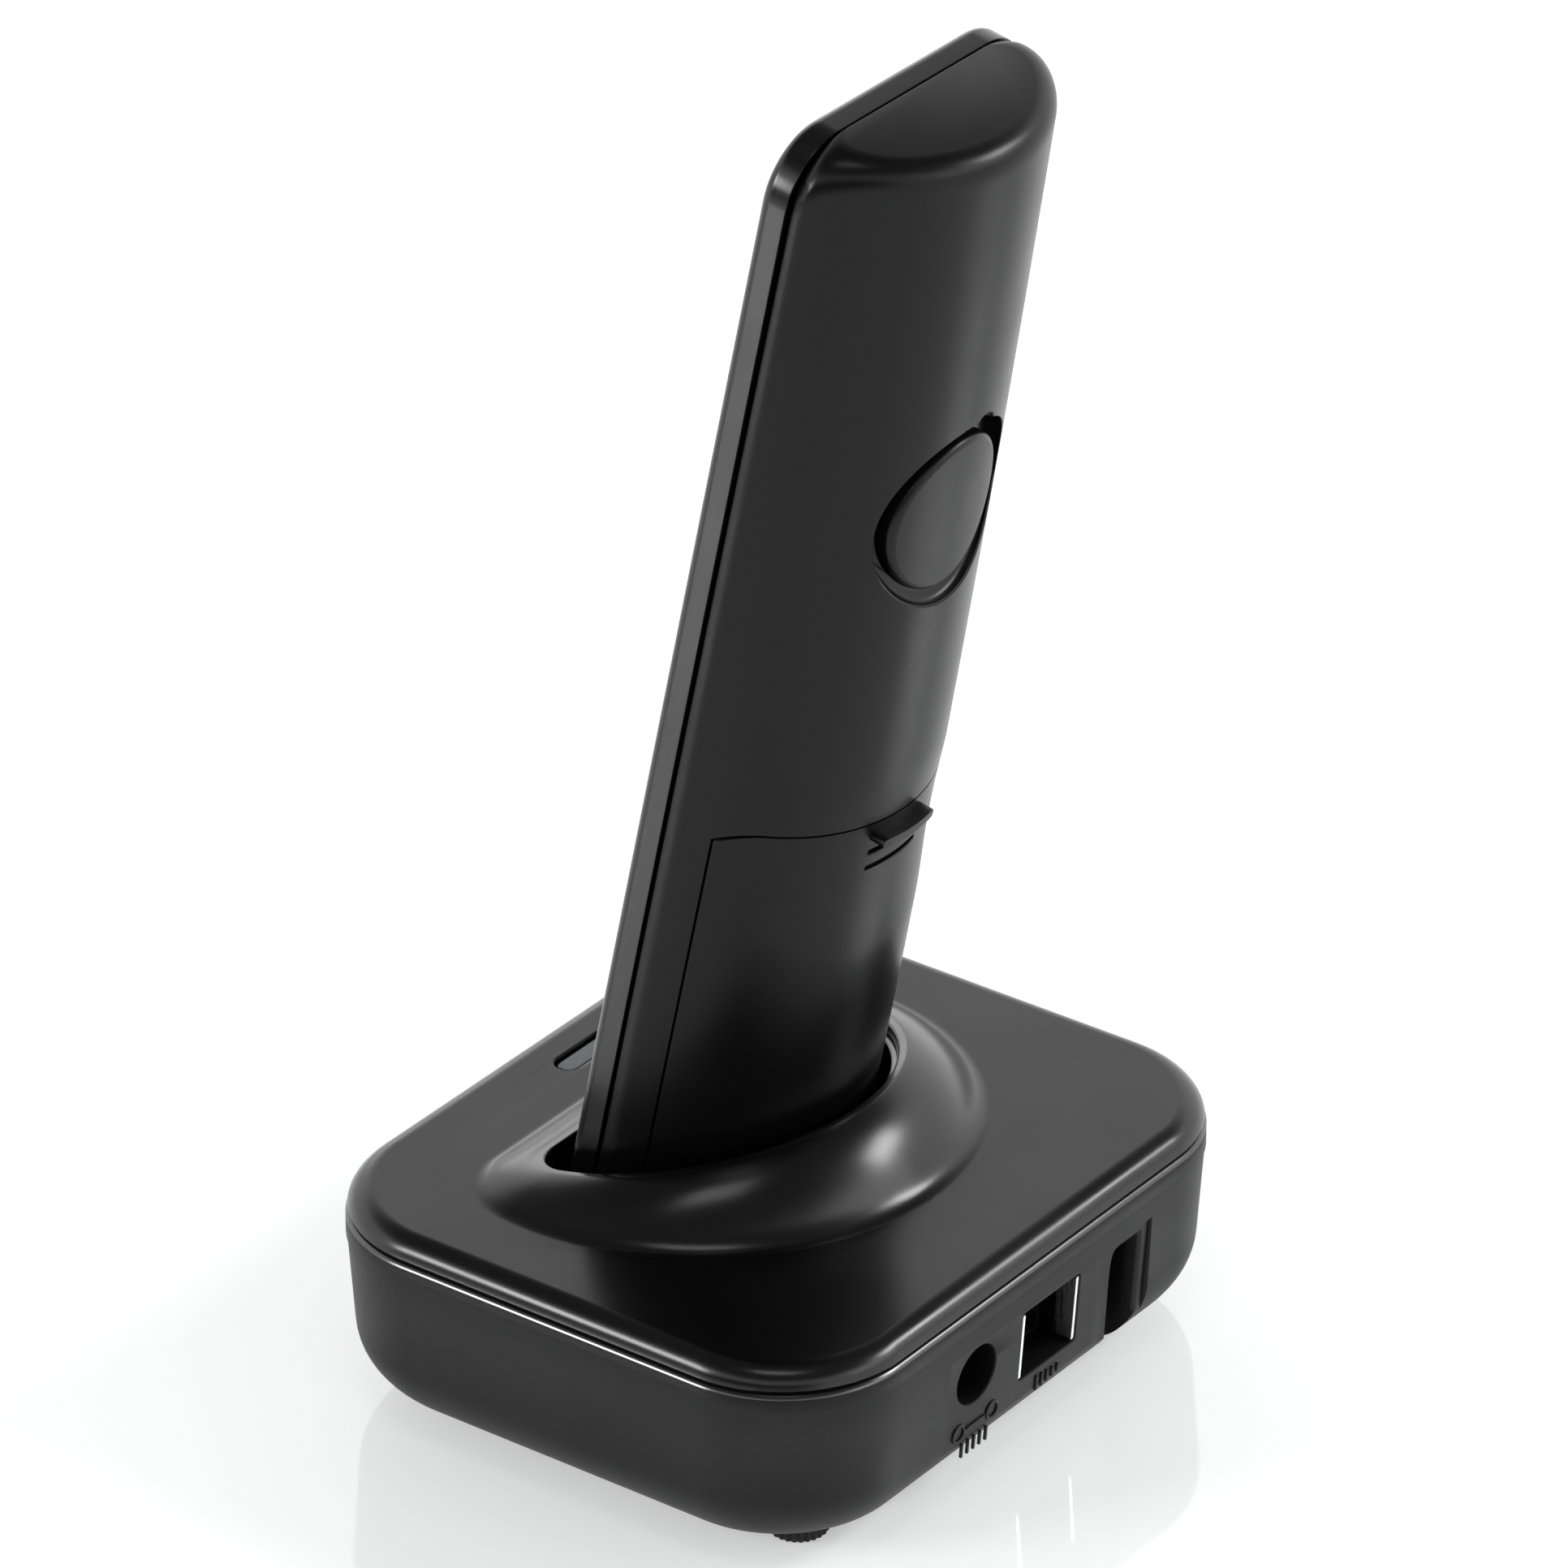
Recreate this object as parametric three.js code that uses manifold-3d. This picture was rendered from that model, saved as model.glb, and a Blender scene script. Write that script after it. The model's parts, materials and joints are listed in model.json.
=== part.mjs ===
// Cordless phone resting in its desk base, millimetres, +Z up.
// The origin is on the table, under the middle of the base. The user sits on the -Y side; the
// sockets are in the +Y side. The handset leans back in its cradle, towards +Y.
// Base pieces use the case frame: z = 0 on the case's underside, above the feet.
// Handset pieces use the handset frame: x across, y out of its back, z along its length,
// with z = 0 at the level where it passes through the top of the base.
import * as THREE from 'three';
import { mergeVertices } from 'three/addons/utils/BufferGeometryUtils.js';
import Module from 'manifold-3d';

const wasm = await Module();
wasm.setup();

// ---------------------------------------------------------------- driving dimensions
const GAP = 0.3;                 // clearance between neighbouring pieces
const WALL = 1.8;                // moulded wall thickness
const FOOT_PROUD = 2;            // how far the feet stand below the case

const BASE = {
  halfX: 48.6, halfY: 41.2, corner: 18.2,
  cornerShrink: 0.6,             // how fast the corner radius follows an inset
  seam: 25.2,                    // height of the split between the two shells
  top: 28.4,                     // height of the flat top
  topFillet: 3, topInset: 0.2,
  band: 3.4, taper: 3.2,         // straight band under the seam, then a taper in degrees
  filletIn: 8, filletUp: 9,      // rounding into the underside
};

const LEAN = 11.9;               // degrees that the handset leans back
const HANDSET_Y = -11.7;         // where its split plane crosses the mouth's height

// The pocket's mouth is a D with a straight front and a round back. It lies in a plane that
// rises to the rear from its front edge, at height z.
const MOUTH = { z: 30.3, rise: 12.5, edgeY: -20, front: 0, centre: 6.2, radius: 27.5, corner: 6 };
const CUP = { wall: 1.1, floor: -15.4, thickness: 1.6 };
// The raised collar around it meets the flat top on a wider D, in the case frame.
const COLLAR = { front: -25.3, centre: -12.4, radius: 34.8, corner: 10 };
// Its S-shaped flank, as how far each ring has moved inwards and how far it has risen.
const FLANK = [[0, 0], [0.2, 0.09], [0.4, 0.31], [0.6, 0.59], [0.8, 0.84], [1, 1]];

const HANDSET = {
  halfWidth: 23.6, bottom: -13, top: 154.4, corner: 8.5,
  frontDepth: 4.1, frontFillet: 1.6,
  endFillet: 3.2,                // rounding of the back into the two ends
};
const ARCH = { crown: 20.6, slope: 0.0065, curve: 0.00016 };  // height of the back along z
// The battery door runs out through the bottom end, so that it can slide off that way.
const DOOR = { seamY: 6.3, halfWidth: 22.3, top: 57.3, bottom: -16, corner: 4, thickness: 1.5 };
const BAY = { halfWidth: 13.4, y: 3, z0: 1, z1: 55.4 };  // opening under the door for the cells
const GRIPS = { z: [50.2, 52.7, 55.2], length: 10.4, width: 0.9, depth: 0.7 };
const CLIP = {
  z: 101.8, recess: 12.7, disc: 10.7,
  depth: 2.6, discInset: 0.6,
  notch: 2.4, notchX: -2.6, notchRise: 12,
};

const LINE_PORT = { x: -3.2, width: 12.2, z0: 8.1, z1: 18.3, depth: 9 };
const POWER_PORT = { x: 12.7, z: 14.3, radius: 4.1, depth: 8.5 };
const CABLE_SLOT = { x0: -21.6, x1: -17, top: 18.2, depth: 7.1 };
const PANEL = { x0: -24.2, x1: 19.4, top: 19.4, topY: 40.5, bottomY: 39 };

const FOOT = { x: 33.8, y: 28, radius: 4.2, recess: 1.2 };
const PAGE = { x: -2.7, y: -32.7, width: 11, height: 3.2, sunk: 0.4 };
const SWITCH = { halfX: 3, y0: -27.3, y1: -21.3, z0: 7.2, z1: 10.8 };  // the page key's switch
const JACKS = { face: 34.1, back: 1.5, latch: 3.1 };  // housings behind the two sockets
const BOARD = { z: 5.2, thickness: 1.6, halfX: 37, y0: -29, y1: 25.4 };
const SCREW = { x: 32, y: 12, length: 13, shank: 0.8, head: 2.1, boss: 3 };
const CONTACT_X = 12;            // half the spacing of the charging contacts

const KEY = { proud: 0.8, thickness: 1.5 };
const DIGIT = { halfX: 5.6, halfZ: 3.7, corner: 1.8 };
const SOFT_KEY = { halfX: 4.6, halfZ: 2.8, corner: 1.6 };
const CALL_KEY = { halfX: 4.6, halfZ: 4.6, corner: 2 };
const NAVIGATION = { halfX: 8, halfZ: 8, corner: 7.9 };
const DISH = { radius: 3.2, depth: 0.5 };
const FRONT_WALL = 1.4;
const EARPIECE = { z: 143, slots: [-5, 0, 5], halfX: 1.9, halfZ: 0.7, corner: 0.6 };
const MIC_HOLE = { z: 8, radius: 0.7 };
const NUMBER_ROWS = [51, 40.5, 30, 19.5];
const NUMBER_COLUMNS = [-14, 0, 14];
const WINDOW = { z0: 93, z1: 131, halfWidth: 17.5, radius: 2.5, thickness: 1.2 };
const CELL = { radius: 5.2, length: 44, x: 5.8, y: 10.2, z0: 8, nub: 1.8 };
const TRAY = { wall: 1.6, y0: 3.6, y1: 8.6, below: 4.6, above: 2.4 };
const LCD = { halfX: 16, z0: 94.5, z1: 129.5, face: 1.6, back: -1.2 };
const SPEAKER = { radius: 6.5, z: 141.5 };
const MICROPHONE = { radius: 2.4, behind: 1.8 };
const MEMBRANE = { halfX: 21, y0: -1.7, y1: -0.9, z0: 14, z1: 88 };
const HANDSET_BOARD = { halfX: 20, halfY: 0.6, z0: -8, z1: 148 };
const BUZZER = { radius: 7, y0: 0.9, y1: 4.4, z: 78 };
const STRIP = { half: 1.1, y0: 2.6, y1: 7.2, slot: 0.9 };   // sprung contact in the cup's floor

// ---------------------------------------------------------------- materials
const finish = (metalness) => (color, roughness) => () => (
  new THREE.MeshStandardMaterial({ color, roughness, metalness }));
const plastic = finish(0);
const metal = finish(1);
const satinBlack = plastic(0x1c1c1d, 0.38);
const mattBlack = plastic(0x232324, 0.62);
const darkGrey = plastic(0x3a3b3d, 0.5);
const smoky = plastic(0x55585a, 0.25);
const rubberBlack = plastic(0x101010, 0.9);
const boardGreen = plastic(0x1d5a34, 0.55);
const displayGrey = plastic(0x7e8a84, 0.2);
const cellBlue = plastic(0x2c4a78, 0.35);
const steel = metal(0xb8babd, 0.3);
const gold = metal(0xc9a04a, 0.3);

// ---------------------------------------------------------------- solids
const rad = THREE.MathUtils.degToRad;

function toSolid(geometry) {
  const bare = (geometry.index ? geometry.toNonIndexed() : geometry.clone());
  bare.deleteAttribute('normal');
  bare.deleteAttribute('uv');
  const merged = mergeVertices(bare, 1e-4);
  const vertProperties = new Float32Array(merged.attributes.position.array);
  const triVerts = new Uint32Array(merged.index.array);
  return new wasm.Manifold(new wasm.Mesh({ numProp: 3, vertProperties, triVerts }));
}

function toGeometry(solid) {
  const mesh = solid.getMesh();
  const geometry = new THREE.BufferGeometry();
  geometry.setAttribute('position', new THREE.BufferAttribute(new Float32Array(mesh.vertProperties), 3));
  geometry.setIndex(new THREE.BufferAttribute(new Uint32Array(mesh.triVerts), 1));
  return geometry;
}

function block(x0, x1, y0, y1, z0, z1) {
  const geometry = new THREE.BoxGeometry(x1 - x0, y1 - y0, z1 - z0);
  geometry.translate((x0 + x1) / 2, (y0 + y1) / 2, (z0 + z1) / 2);
  return toSolid(geometry);
}

// A round bar along 'x', 'y' or 'z', from one coordinate to another on that axis.
function bar(axis, radius, from, to, centre, sides = 20, endRadius = radius) {
  const geometry = new THREE.CylinderGeometry(endRadius, radius, to - from, sides);
  geometry.translate(0, (from + to) / 2, 0);
  if (axis === 'z') geometry.rotateX(Math.PI / 2);
  if (axis === 'x') geometry.rotateZ(-Math.PI / 2);
  geometry.translate(...centre);
  return toSolid(geometry);
}

// A closed body through a stack of rings that have the same number of points.
function loft(rings) {
  const count = rings[0].length;
  const points = rings.flat();
  const positions = points.flatMap((p) => [p.x, p.y, p.z]);
  const faces = [];
  for (let r = 0; r + 1 < rings.length; r += 1) {
    for (let i = 0; i < count; i += 1) {
      const j = (i + 1) % count;
      const a = r * count + i;
      const b = r * count + j;
      faces.push(a, b, b + count, a, b + count, a + count);
    }
  }
  const last = (rings.length - 1) * count;
  for (let i = 1; i + 1 < count; i += 1) {
    faces.push(0, i + 1, i);
    faces.push(last, last + i, last + i + 1);
  }
  const geometry = new THREE.BufferGeometry();
  geometry.setAttribute('position', new THREE.Float32BufferAttribute(positions, 3));
  geometry.setIndex(faces);
  return toSolid(geometry);
}

function arcPoints(cx, cy, radius, from, to, steps) {
  return Array.from({ length: steps + 1 }, (_, i) => {
    const angle = from + (to - from) * (i / steps);
    return [cx + radius * Math.cos(angle), cy + radius * Math.sin(angle)];
  });
}

// A rectangle with round corners, counterclockwise, as [x, y] points.
function roundedPoints(halfX, halfY, corner, steps = 6, cx = 0, cy = 0) {
  const quarter = Math.PI / 2;
  const signs = [[1, 1], [-1, 1], [-1, -1], [1, -1]];
  return signs.flatMap(([sx, sy], k) => arcPoints(
    cx + sx * (halfX - corner), cy + sy * (halfY - corner), corner, k * quarter, (k + 1) * quarter, steps));
}

// A D outline, counterclockwise from the right end of its straight front.
function dPoints({ front, centre, radius, corner }, grow = 0, steps = 24) {
  const big = radius + grow;
  const small = corner + grow;
  const cornerY = front + corner;
  const cornerX = Math.sqrt((radius - corner) ** 2 - (cornerY - centre) ** 2);
  const tangent = Math.atan2(cornerY - centre, cornerX);
  const right = arcPoints(cornerX, cornerY, small, -Math.PI / 2, tangent, 6);
  const back = arcPoints(0, centre, big, tangent, Math.PI - tangent, steps);
  const left = arcPoints(-cornerX, cornerY, small, Math.PI - tangent, Math.PI * 1.5, 6);
  return [...right, ...back.slice(1, -1), ...left];
}

function prism(points, z0, z1) {
  const ring = (z) => points.map(([x, y]) => new THREE.Vector3(x, y, z));
  return loft([ring(z0), ring(z1)]);
}

// A rounded plate that stands off the handset's front: outline in x and z, depth along y.
function frontPlate(halfX, halfZ, corner, cx, cz, y0, y1, steps = 4) {
  const points = roundedPoints(halfX, halfZ, corner, steps, cx, cz);
  const ring = (y) => points.map(([x, z]) => new THREE.Vector3(x, y, z));
  return loft([ring(y1), ring(y0)]);
}

// ---------------------------------------------------------------- scene graph
const caseFrame = new THREE.Group();
caseFrame.position.z = FOOT_PROUD;
const handsetFrame = new THREE.Group();
handsetFrame.position.set(0, HANDSET_Y, MOUTH.z);
handsetFrame.rotation.x = -rad(LEAN);
caseFrame.add(handsetFrame);
const phone = new THREE.Group();
phone.add(caseFrame);

function place(frame, name, solid, material) {
  const mesh = new THREE.Mesh(toGeometry(solid), material());
  mesh.name = name;
  frame.add(mesh);
}

// Turns a solid of the handset frame into the case frame, for cuts in the base.
const leanMatrix = new THREE.Matrix4().makeRotationX(-rad(LEAN)).setPosition(0, HANDSET_Y, MOUTH.z);
const leaning = (solid) => toSolid(toGeometry(solid).applyMatrix4(leanMatrix));

// ---------------------------------------------------------------- base casing
function baseRing(inset, z, steps = 7) {
  const corner = BASE.corner - inset * BASE.cornerShrink;
  return roundedPoints(BASE.halfX - inset, BASE.halfY - inset, corner, steps)
    .map(([x, y]) => new THREE.Vector3(x, y, z));
}

function topCasing(inset, drop, bottom) {
  const fillet = BASE.topFillet;
  const rings = [baseRing(inset, bottom)];
  for (const step of [0, 1, 2, 3, 4, 5]) {
    const angle = (step / 5) * (Math.PI / 2);
    const z = BASE.top - drop - fillet + fillet * Math.sin(angle);
    rings.push(baseRing(inset + fillet * (1 - Math.cos(angle)), z));
  }
  return loft(rings);
}

function lowerCasing(inset, lift, top) {
  const bandEnd = BASE.seam - BASE.band;
  const slope = Math.tan(rad(BASE.taper));
  const rings = [];
  for (const step of [5, 4, 3, 2, 1]) {
    const angle = (step / 5) * (Math.PI / 2);
    const z = BASE.filletUp * (1 - Math.sin(angle));
    const wall = (bandEnd - z) * slope;
    rings.push(baseRing(inset + wall + BASE.filletIn * (1 - Math.cos(angle)), z + lift));
  }
  rings.push(baseRing(inset + (bandEnd - BASE.filletUp) * slope, BASE.filletUp + lift));
  rings.push(baseRing(inset, bandEnd));
  rings.push(baseRing(inset, top));
  return loft(rings);
}

// The mouth's outline in the case frame, and its cut along the handset's length.
function mouthRing(grow) {
  const rise = rad(MOUTH.rise);
  return dPoints(MOUTH, grow).map(([x, along]) => new THREE.Vector3(
    x, MOUTH.edgeY + along * Math.cos(rise), MOUTH.z + along * Math.sin(rise)));
}

function pocket(grow, z0, z1) {
  const backToHandset = leanMatrix.clone().invert();
  const outline = mouthRing(grow).map((p) => p.applyMatrix4(backToHandset));
  return prism(outline.map((p) => [p.x, p.y]), z0, z1);
}

// The collar: rings that run from the wide D on the flat top up to the rising mouth.
function collar(drop, grow, spread) {
  const mouth = mouthRing(grow);
  const foot = dPoints(COLLAR, spread);
  const ringAt = (along, height) => mouth.map((p, i) => new THREE.Vector3(
    THREE.MathUtils.lerp(foot[i][0], p.x, along),
    THREE.MathUtils.lerp(foot[i][1], p.y, along),
    BASE.top - drop + (p.z - BASE.top) * height,
  ));
  const sunk = mouth.map((p, i) => new THREE.Vector3(foot[i][0], foot[i][1], BASE.top - drop - 1));
  return loft([sunk, ...FLANK.map(([along, height]) => ringAt(along, height))]);
}

const mouthCut = (grow) => leaning(pocket(grow, CUP.floor - 12, 30));

const cornerSigns = [[-1, -1], [1, -1], [-1, 1], [1, 1]];
const screwSpots = cornerSigns.map(([sx, sy]) => [sx * SCREW.x, sy * SCREW.y, 0]);

function baseTopShell() {
  let solid = topCasing(BASE.topInset, 0, BASE.seam + GAP / 2).add(collar(0, 0, 0));
  solid = solid.subtract(topCasing(BASE.topInset + WALL, WALL, BASE.seam - 1));
  solid = solid.subtract(collar(WALL, 1.6, -1.5));
  solid = solid.subtract(mouthCut(0));
  for (const spot of screwSpots) {
    solid = solid.add(bar('z', SCREW.boss, BOARD.z + BOARD.thickness + GAP, BASE.top - 1, spot, 14));
    solid = solid.subtract(bar('z', SCREW.shank + GAP, BOARD.z, SCREW.length + 2, spot, 12));
  }
  const pageX = PAGE.width / 2 + GAP;
  const pageY = PAGE.height / 2 + GAP;
  const page = roundedPoints(pageX, pageY, PAGE.height / 2, 5, PAGE.x, PAGE.y);
  return solid.subtract(prism(page, BASE.seam, BASE.top + 1));
}

// The sockets' panel is a flat cut that gets deeper towards the underside.
function panelCut() {
  const deeper = (PANEL.topY - PANEL.bottomY) / PANEL.top;
  const section = [
    [PANEL.bottomY - deeper * 2, -2],
    [60, -2],
    [60, PANEL.top],
    [PANEL.topY, PANEL.top],
  ];
  const ring = (x) => section.map(([y, z]) => new THREE.Vector3(x, y, z));
  return loft([ring(PANEL.x0), ring(PANEL.x1)]);
}

function baseLowerShell() {
  let solid = lowerCasing(0, 0, BASE.seam - GAP / 2);
  solid = solid.subtract(lowerCasing(WALL, WALL, BASE.seam + 1));
  const backing = block(PANEL.x0 - 1, PANEL.x1 + 1, 34.4, 39.8, WALL / 2, PANEL.top + 1);
  solid = solid.add(backing.intersect(lowerCasing(0.2, 0.2, BASE.seam - 1)));
  solid = solid.subtract(panelCut());
  const port = LINE_PORT;
  solid = solid.subtract(block(port.x - port.width / 2, port.x + port.width / 2, 30, 45, port.z0, port.z1));
  solid = solid.subtract(bar('y', POWER_PORT.radius, 30, 45, [POWER_PORT.x, 0, POWER_PORT.z], 28));
  const slotFloor = PANEL.bottomY - CABLE_SLOT.depth;
  const slotTop = CABLE_SLOT.top + WALL;
  const slotWall = block(CABLE_SLOT.x0 - WALL, CABLE_SLOT.x1 + WALL, slotFloor - WALL, 36, 1, slotTop);
  solid = solid.add(slotWall);
  solid = solid.subtract(block(CABLE_SLOT.x0, CABLE_SLOT.x1, slotFloor, 45, -1, CABLE_SLOT.top));
  for (const [sx, sy] of cornerSigns) {
    solid = solid.subtract(bar('z', FOOT.radius + GAP, -1, FOOT.recess, [sx * FOOT.x, sy * FOOT.y, 0], 24));
  }
  for (const spot of screwSpots) {
    solid = solid.add(bar('z', SCREW.boss, 1, BOARD.z - GAP, spot, 14));
    solid = solid.subtract(bar('z', SCREW.shank + GAP, -1, BOARD.z, spot, 12));
    solid = solid.subtract(bar('z', SCREW.head + GAP, -1, 1.3, spot, 16));
  }
  return solid;
}

place(caseFrame, 'base_top_shell', baseTopShell(), satinBlack);
place(caseFrame, 'base_lower_shell', baseLowerShell(), mattBlack);

// The pocket is an insert: a cup with the mouth's outline, open upwards, with two contact slots.
function cradleCup() {
  let solid = pocket(-GAP, CUP.floor - CUP.thickness, 30);
  solid = solid.subtract(pocket(-GAP - CUP.wall, CUP.floor, 31));
  const above = prism([[-40, 0], [40, 0], [40, 60], [-40, 60]], 0, 60);
  const toHandset = leanMatrix.clone().invert();
  const tilt = new THREE.Matrix4().makeRotationX(rad(MOUTH.rise)).setPosition(0, MOUTH.edgeY, MOUTH.z);
  const cutter = toSolid(toGeometry(above).translate(0, -10, 0).applyMatrix4(toHandset.multiply(tilt)));
  solid = solid.subtract(cutter);
  for (const side of [-1, 1]) {
    const x = side * CONTACT_X;
    const half = STRIP.half + STRIP.slot;
    const slot = block(x - half, x + half, STRIP.y0 - 0.6, STRIP.y1 + 0.8, CUP.floor - 4, CUP.floor + 1);
    solid = solid.subtract(slot);
  }
  return solid;
}
place(handsetFrame, 'cradle_cup', cradleCup(), satinBlack);

function pageKey() {
  const pad = roundedPoints(PAGE.width / 2, PAGE.height / 2, PAGE.height / 2 - 0.01, 5, PAGE.x, PAGE.y);
  return prism(pad, BASE.top - WALL - PAGE.sunk, BASE.top - PAGE.sunk);
}
const pageSwitch = block(-SWITCH.halfX, SWITCH.halfX, SWITCH.y0, SWITCH.y1, SWITCH.z0, SWITCH.z1);
place(caseFrame, 'page_key', pageKey(), smoky);
place(caseFrame, 'page_switch', pageSwitch, darkGrey);

// ---------------------------------------------------------------- inside the base
function baseBoard() {
  let solid = block(-BOARD.halfX, BOARD.halfX, BOARD.y0, BOARD.y1, BOARD.z, BOARD.z + BOARD.thickness);
  for (const spot of screwSpots) {
    solid = solid.subtract(bar('z', SCREW.shank + GAP, 0, 10, spot, 12));
  }
  return solid;
}
place(caseFrame, 'base_circuit_board', baseBoard(), boardGreen);

function lineJack() {
  const { x, width, z0, z1, depth } = LINE_PORT;
  const { face, back, latch } = JACKS;
  const outside = width / 2 + 1;
  const inside = width / 2 - 0.6;
  const outer = block(x - outside, x + outside, face - depth - back, face, z0 - 1, z1 + 1);
  const cavity = block(x - inside, x + inside, face - depth, face + 1, z0 + 0.4, z1 - 0.4);
  const latchStep = block(x - latch, x + latch, face - 5, face + 1, z0 - 0.4, z0 + 1);
  return outer.subtract(cavity).subtract(latchStep);
}
place(caseFrame, 'line_jack', lineJack(), darkGrey);

// The comb that carries the line contacts, clear of the cavity's walls.
function lineContacts() {
  const { x, z1, depth } = LINE_PORT;
  const floor = JACKS.face - depth;
  let solid = block(x - 4.4, x + 4.4, floor + 0.5, floor + 5.5, z1 - 2.6, z1 - 0.8);
  for (const across of [-3, -1, 1, 3]) {
    const wireX = x + across;
    solid = solid.add(block(wireX - 0.3, wireX + 0.3, floor + 0.9, floor + 5.1, z1 - 4.4, z1 - 2.2));
  }
  return solid;
}
place(caseFrame, 'line_jack_contacts', lineContacts(), gold);

function powerJack() {
  const { x, z, radius, depth } = POWER_PORT;
  const { face, back } = JACKS;
  const half = radius + 0.9;
  const body = block(x - half, x + half, face - depth - back, face, z - half, z + half);
  return body.subtract(bar('y', radius - 0.9, face - depth, face + 1, [x, 0, z], 24));
}

function powerPin() {
  const floor = JACKS.face - POWER_PORT.depth;
  return bar('y', 1, floor + GAP, floor + 6.8, [POWER_PORT.x, 0, POWER_PORT.z], 14);
}
place(caseFrame, 'power_jack', powerJack(), darkGrey);
place(caseFrame, 'power_jack_pin', powerPin(), steel);

const footNames = ['front_left', 'front_right', 'rear_left', 'rear_right'];
cornerSigns.forEach(([sx, sy], i) => {
  const centre = [sx * FOOT.x, sy * FOOT.y, 0];
  const disc = bar('z', FOOT.radius, -FOOT_PROUD, FOOT.recess - GAP, centre, 24);
  place(caseFrame, `rubber_foot_${footNames[i]}`, disc, rubberBlack);
});

screwSpots.forEach((spot, i) => {
  const head = bar('z', SCREW.head, 0.1, 1, spot, 16);
  const shank = bar('z', SCREW.shank, 0.9, SCREW.length, spot, 12);
  const socket = bar('z', 0.8, 0, 0.6, spot, 6);
  place(caseFrame, `base_screw_${footNames[i]}`, head.add(shank).subtract(socket), steel);
});

// Sprung charging contacts: a strip that stands through the cup's floor.
for (const side of [-1, 1]) {
  const x = side * CONTACT_X;
  const { half, y0, y1 } = STRIP;
  const strip = block(x - half, x + half, y0, y1, CUP.floor - 1.2, HANDSET.bottom - GAP);
  place(handsetFrame, `base_charge_contact_${side < 0 ? 'left' : 'right'}`, strip, gold);
}

// ---------------------------------------------------------------- handset casing
const archHeight = (z) => ARCH.crown - ARCH.slope * z - ARCH.curve * z * z;

// How far a rounding of this radius pulls the surface in, at height z near either end.
function endPull(z, radius) {
  const fromEnd = Math.min(z - HANDSET.bottom, HANDSET.top - z);
  if (fromEnd >= radius) return 0;
  return radius - Math.sqrt(radius ** 2 - (radius - fromEnd) ** 2);
}

// One slice of the back: a circular arch over the split plane, closed along y = base.
// Its ends are rounded, generously at the split plane and more tightly at the crown.
function archRing(z, inset, base, steps = 22) {
  const half = HANDSET.halfWidth - inset;
  const height = archHeight(z) - inset;
  const radius = (half ** 2 + height ** 2) / (2 * height);
  const centre = height - radius;
  const start = Math.asin((base - centre) / radius);
  return arcPoints(0, centre, radius, start, Math.PI - start, steps).map(([x, y]) => {
    const side = 1 - (y - base) / (height - base);
    const fillet = THREE.MathUtils.lerp(HANDSET.endFillet, HANDSET.corner, side ** 2);
    const keep = 1 - endPull(z, fillet) / Math.hypot(x, y - base);
    return new THREE.Vector3(x * keep, base + (y - base) * keep, z);
  });
}

function handsetBack(inset, base) {
  const ends = [0, 0.25, 1, 2.2, 4.2, 8.5];
  const low = ends.map((step) => HANDSET.bottom + step);
  const high = ends.map((step) => HANDSET.top - step).reverse();
  const levels = [...low, 20, 50, 85, 120, ...high];
  return loft(levels.map((z) => archRing(z, inset, base)));
}

// The part of the back that the battery door takes away, grown by a clearance.
function doorZone(grow) {
  const { corner, seamY } = DOOR;
  const bottom = DOOR.bottom - grow;
  const top = DOOR.top + grow;
  const middle = (bottom + top) / 2;
  const wide = DOOR.halfWidth + grow;
  const outline = roundedPoints(wide, (top - bottom) / 2, corner, 5, 0, middle);
  const face = (y) => outline.map(([x, z]) => new THREE.Vector3(x, y, z));
  return loft([face(30), face(seamY - grow)]);
}

const clipCut = (radius) => bar('y', radius, 5, 30, [0, 0, CLIP.z], 36);

function handsetRearShell() {
  const outer = handsetBack(0, GAP);
  const ledge = DOOR.thickness + GAP + 1.3;
  const inner = handsetBack(WALL, -1)
    .subtract(doorZone(1.5))
    .add(handsetBack(ledge, -1))
    .subtract(block(-30, 30, -5, 30, HANDSET.bottom - 1, HANDSET.bottom + WALL))
    .subtract(block(-30, 30, -5, 30, HANDSET.top - WALL, HANDSET.top + 1));
  const clipPad = clipCut(CLIP.recess + 1.5)
    .intersect(handsetBack(0.5, 1))
    .subtract(handsetBack(CLIP.depth + 1.3, -1));
  let solid = outer.subtract(inner).add(clipPad);
  const notch = bar('y', CLIP.notch, 5, 30, [CLIP.notchX, 0, CLIP.z + CLIP.notchRise], 16);
  solid = solid.subtract(clipCut(CLIP.recess).add(notch).subtract(handsetBack(CLIP.depth, -1)));
  solid = solid.subtract(doorZone(GAP).subtract(handsetBack(DOOR.thickness + GAP, -1)));
  for (const side of [-1, 1]) {
    const x = side * CONTACT_X;
    solid = solid.subtract(block(x - 2.3, x + 2.3, 2.7, 7.3, HANDSET.bottom - 1, HANDSET.bottom + WALL + 1));
  }
  return solid.subtract(block(-BAY.halfWidth, BAY.halfWidth, BAY.y, 30, BAY.z0, BAY.z1));
}
place(handsetFrame, 'handset_rear_shell', handsetRearShell(), satinBlack);

function batteryDoor() {
  let solid = doorZone(0).intersect(handsetBack(0, GAP)).subtract(handsetBack(DOOR.thickness, -1));
  for (const z of GRIPS.z) {
    const height = archHeight(z);
    const half = GRIPS.width / 2;
    const side = GRIPS.length / 2;
    const cut = block(-side, side, height - GRIPS.depth - 0.5, 30, z - half, z + half);
    solid = solid.subtract(cut.subtract(handsetBack(GRIPS.depth, -1)));
  }
  return solid;
}
place(handsetFrame, 'battery_door', batteryDoor(), satinBlack);

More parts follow.
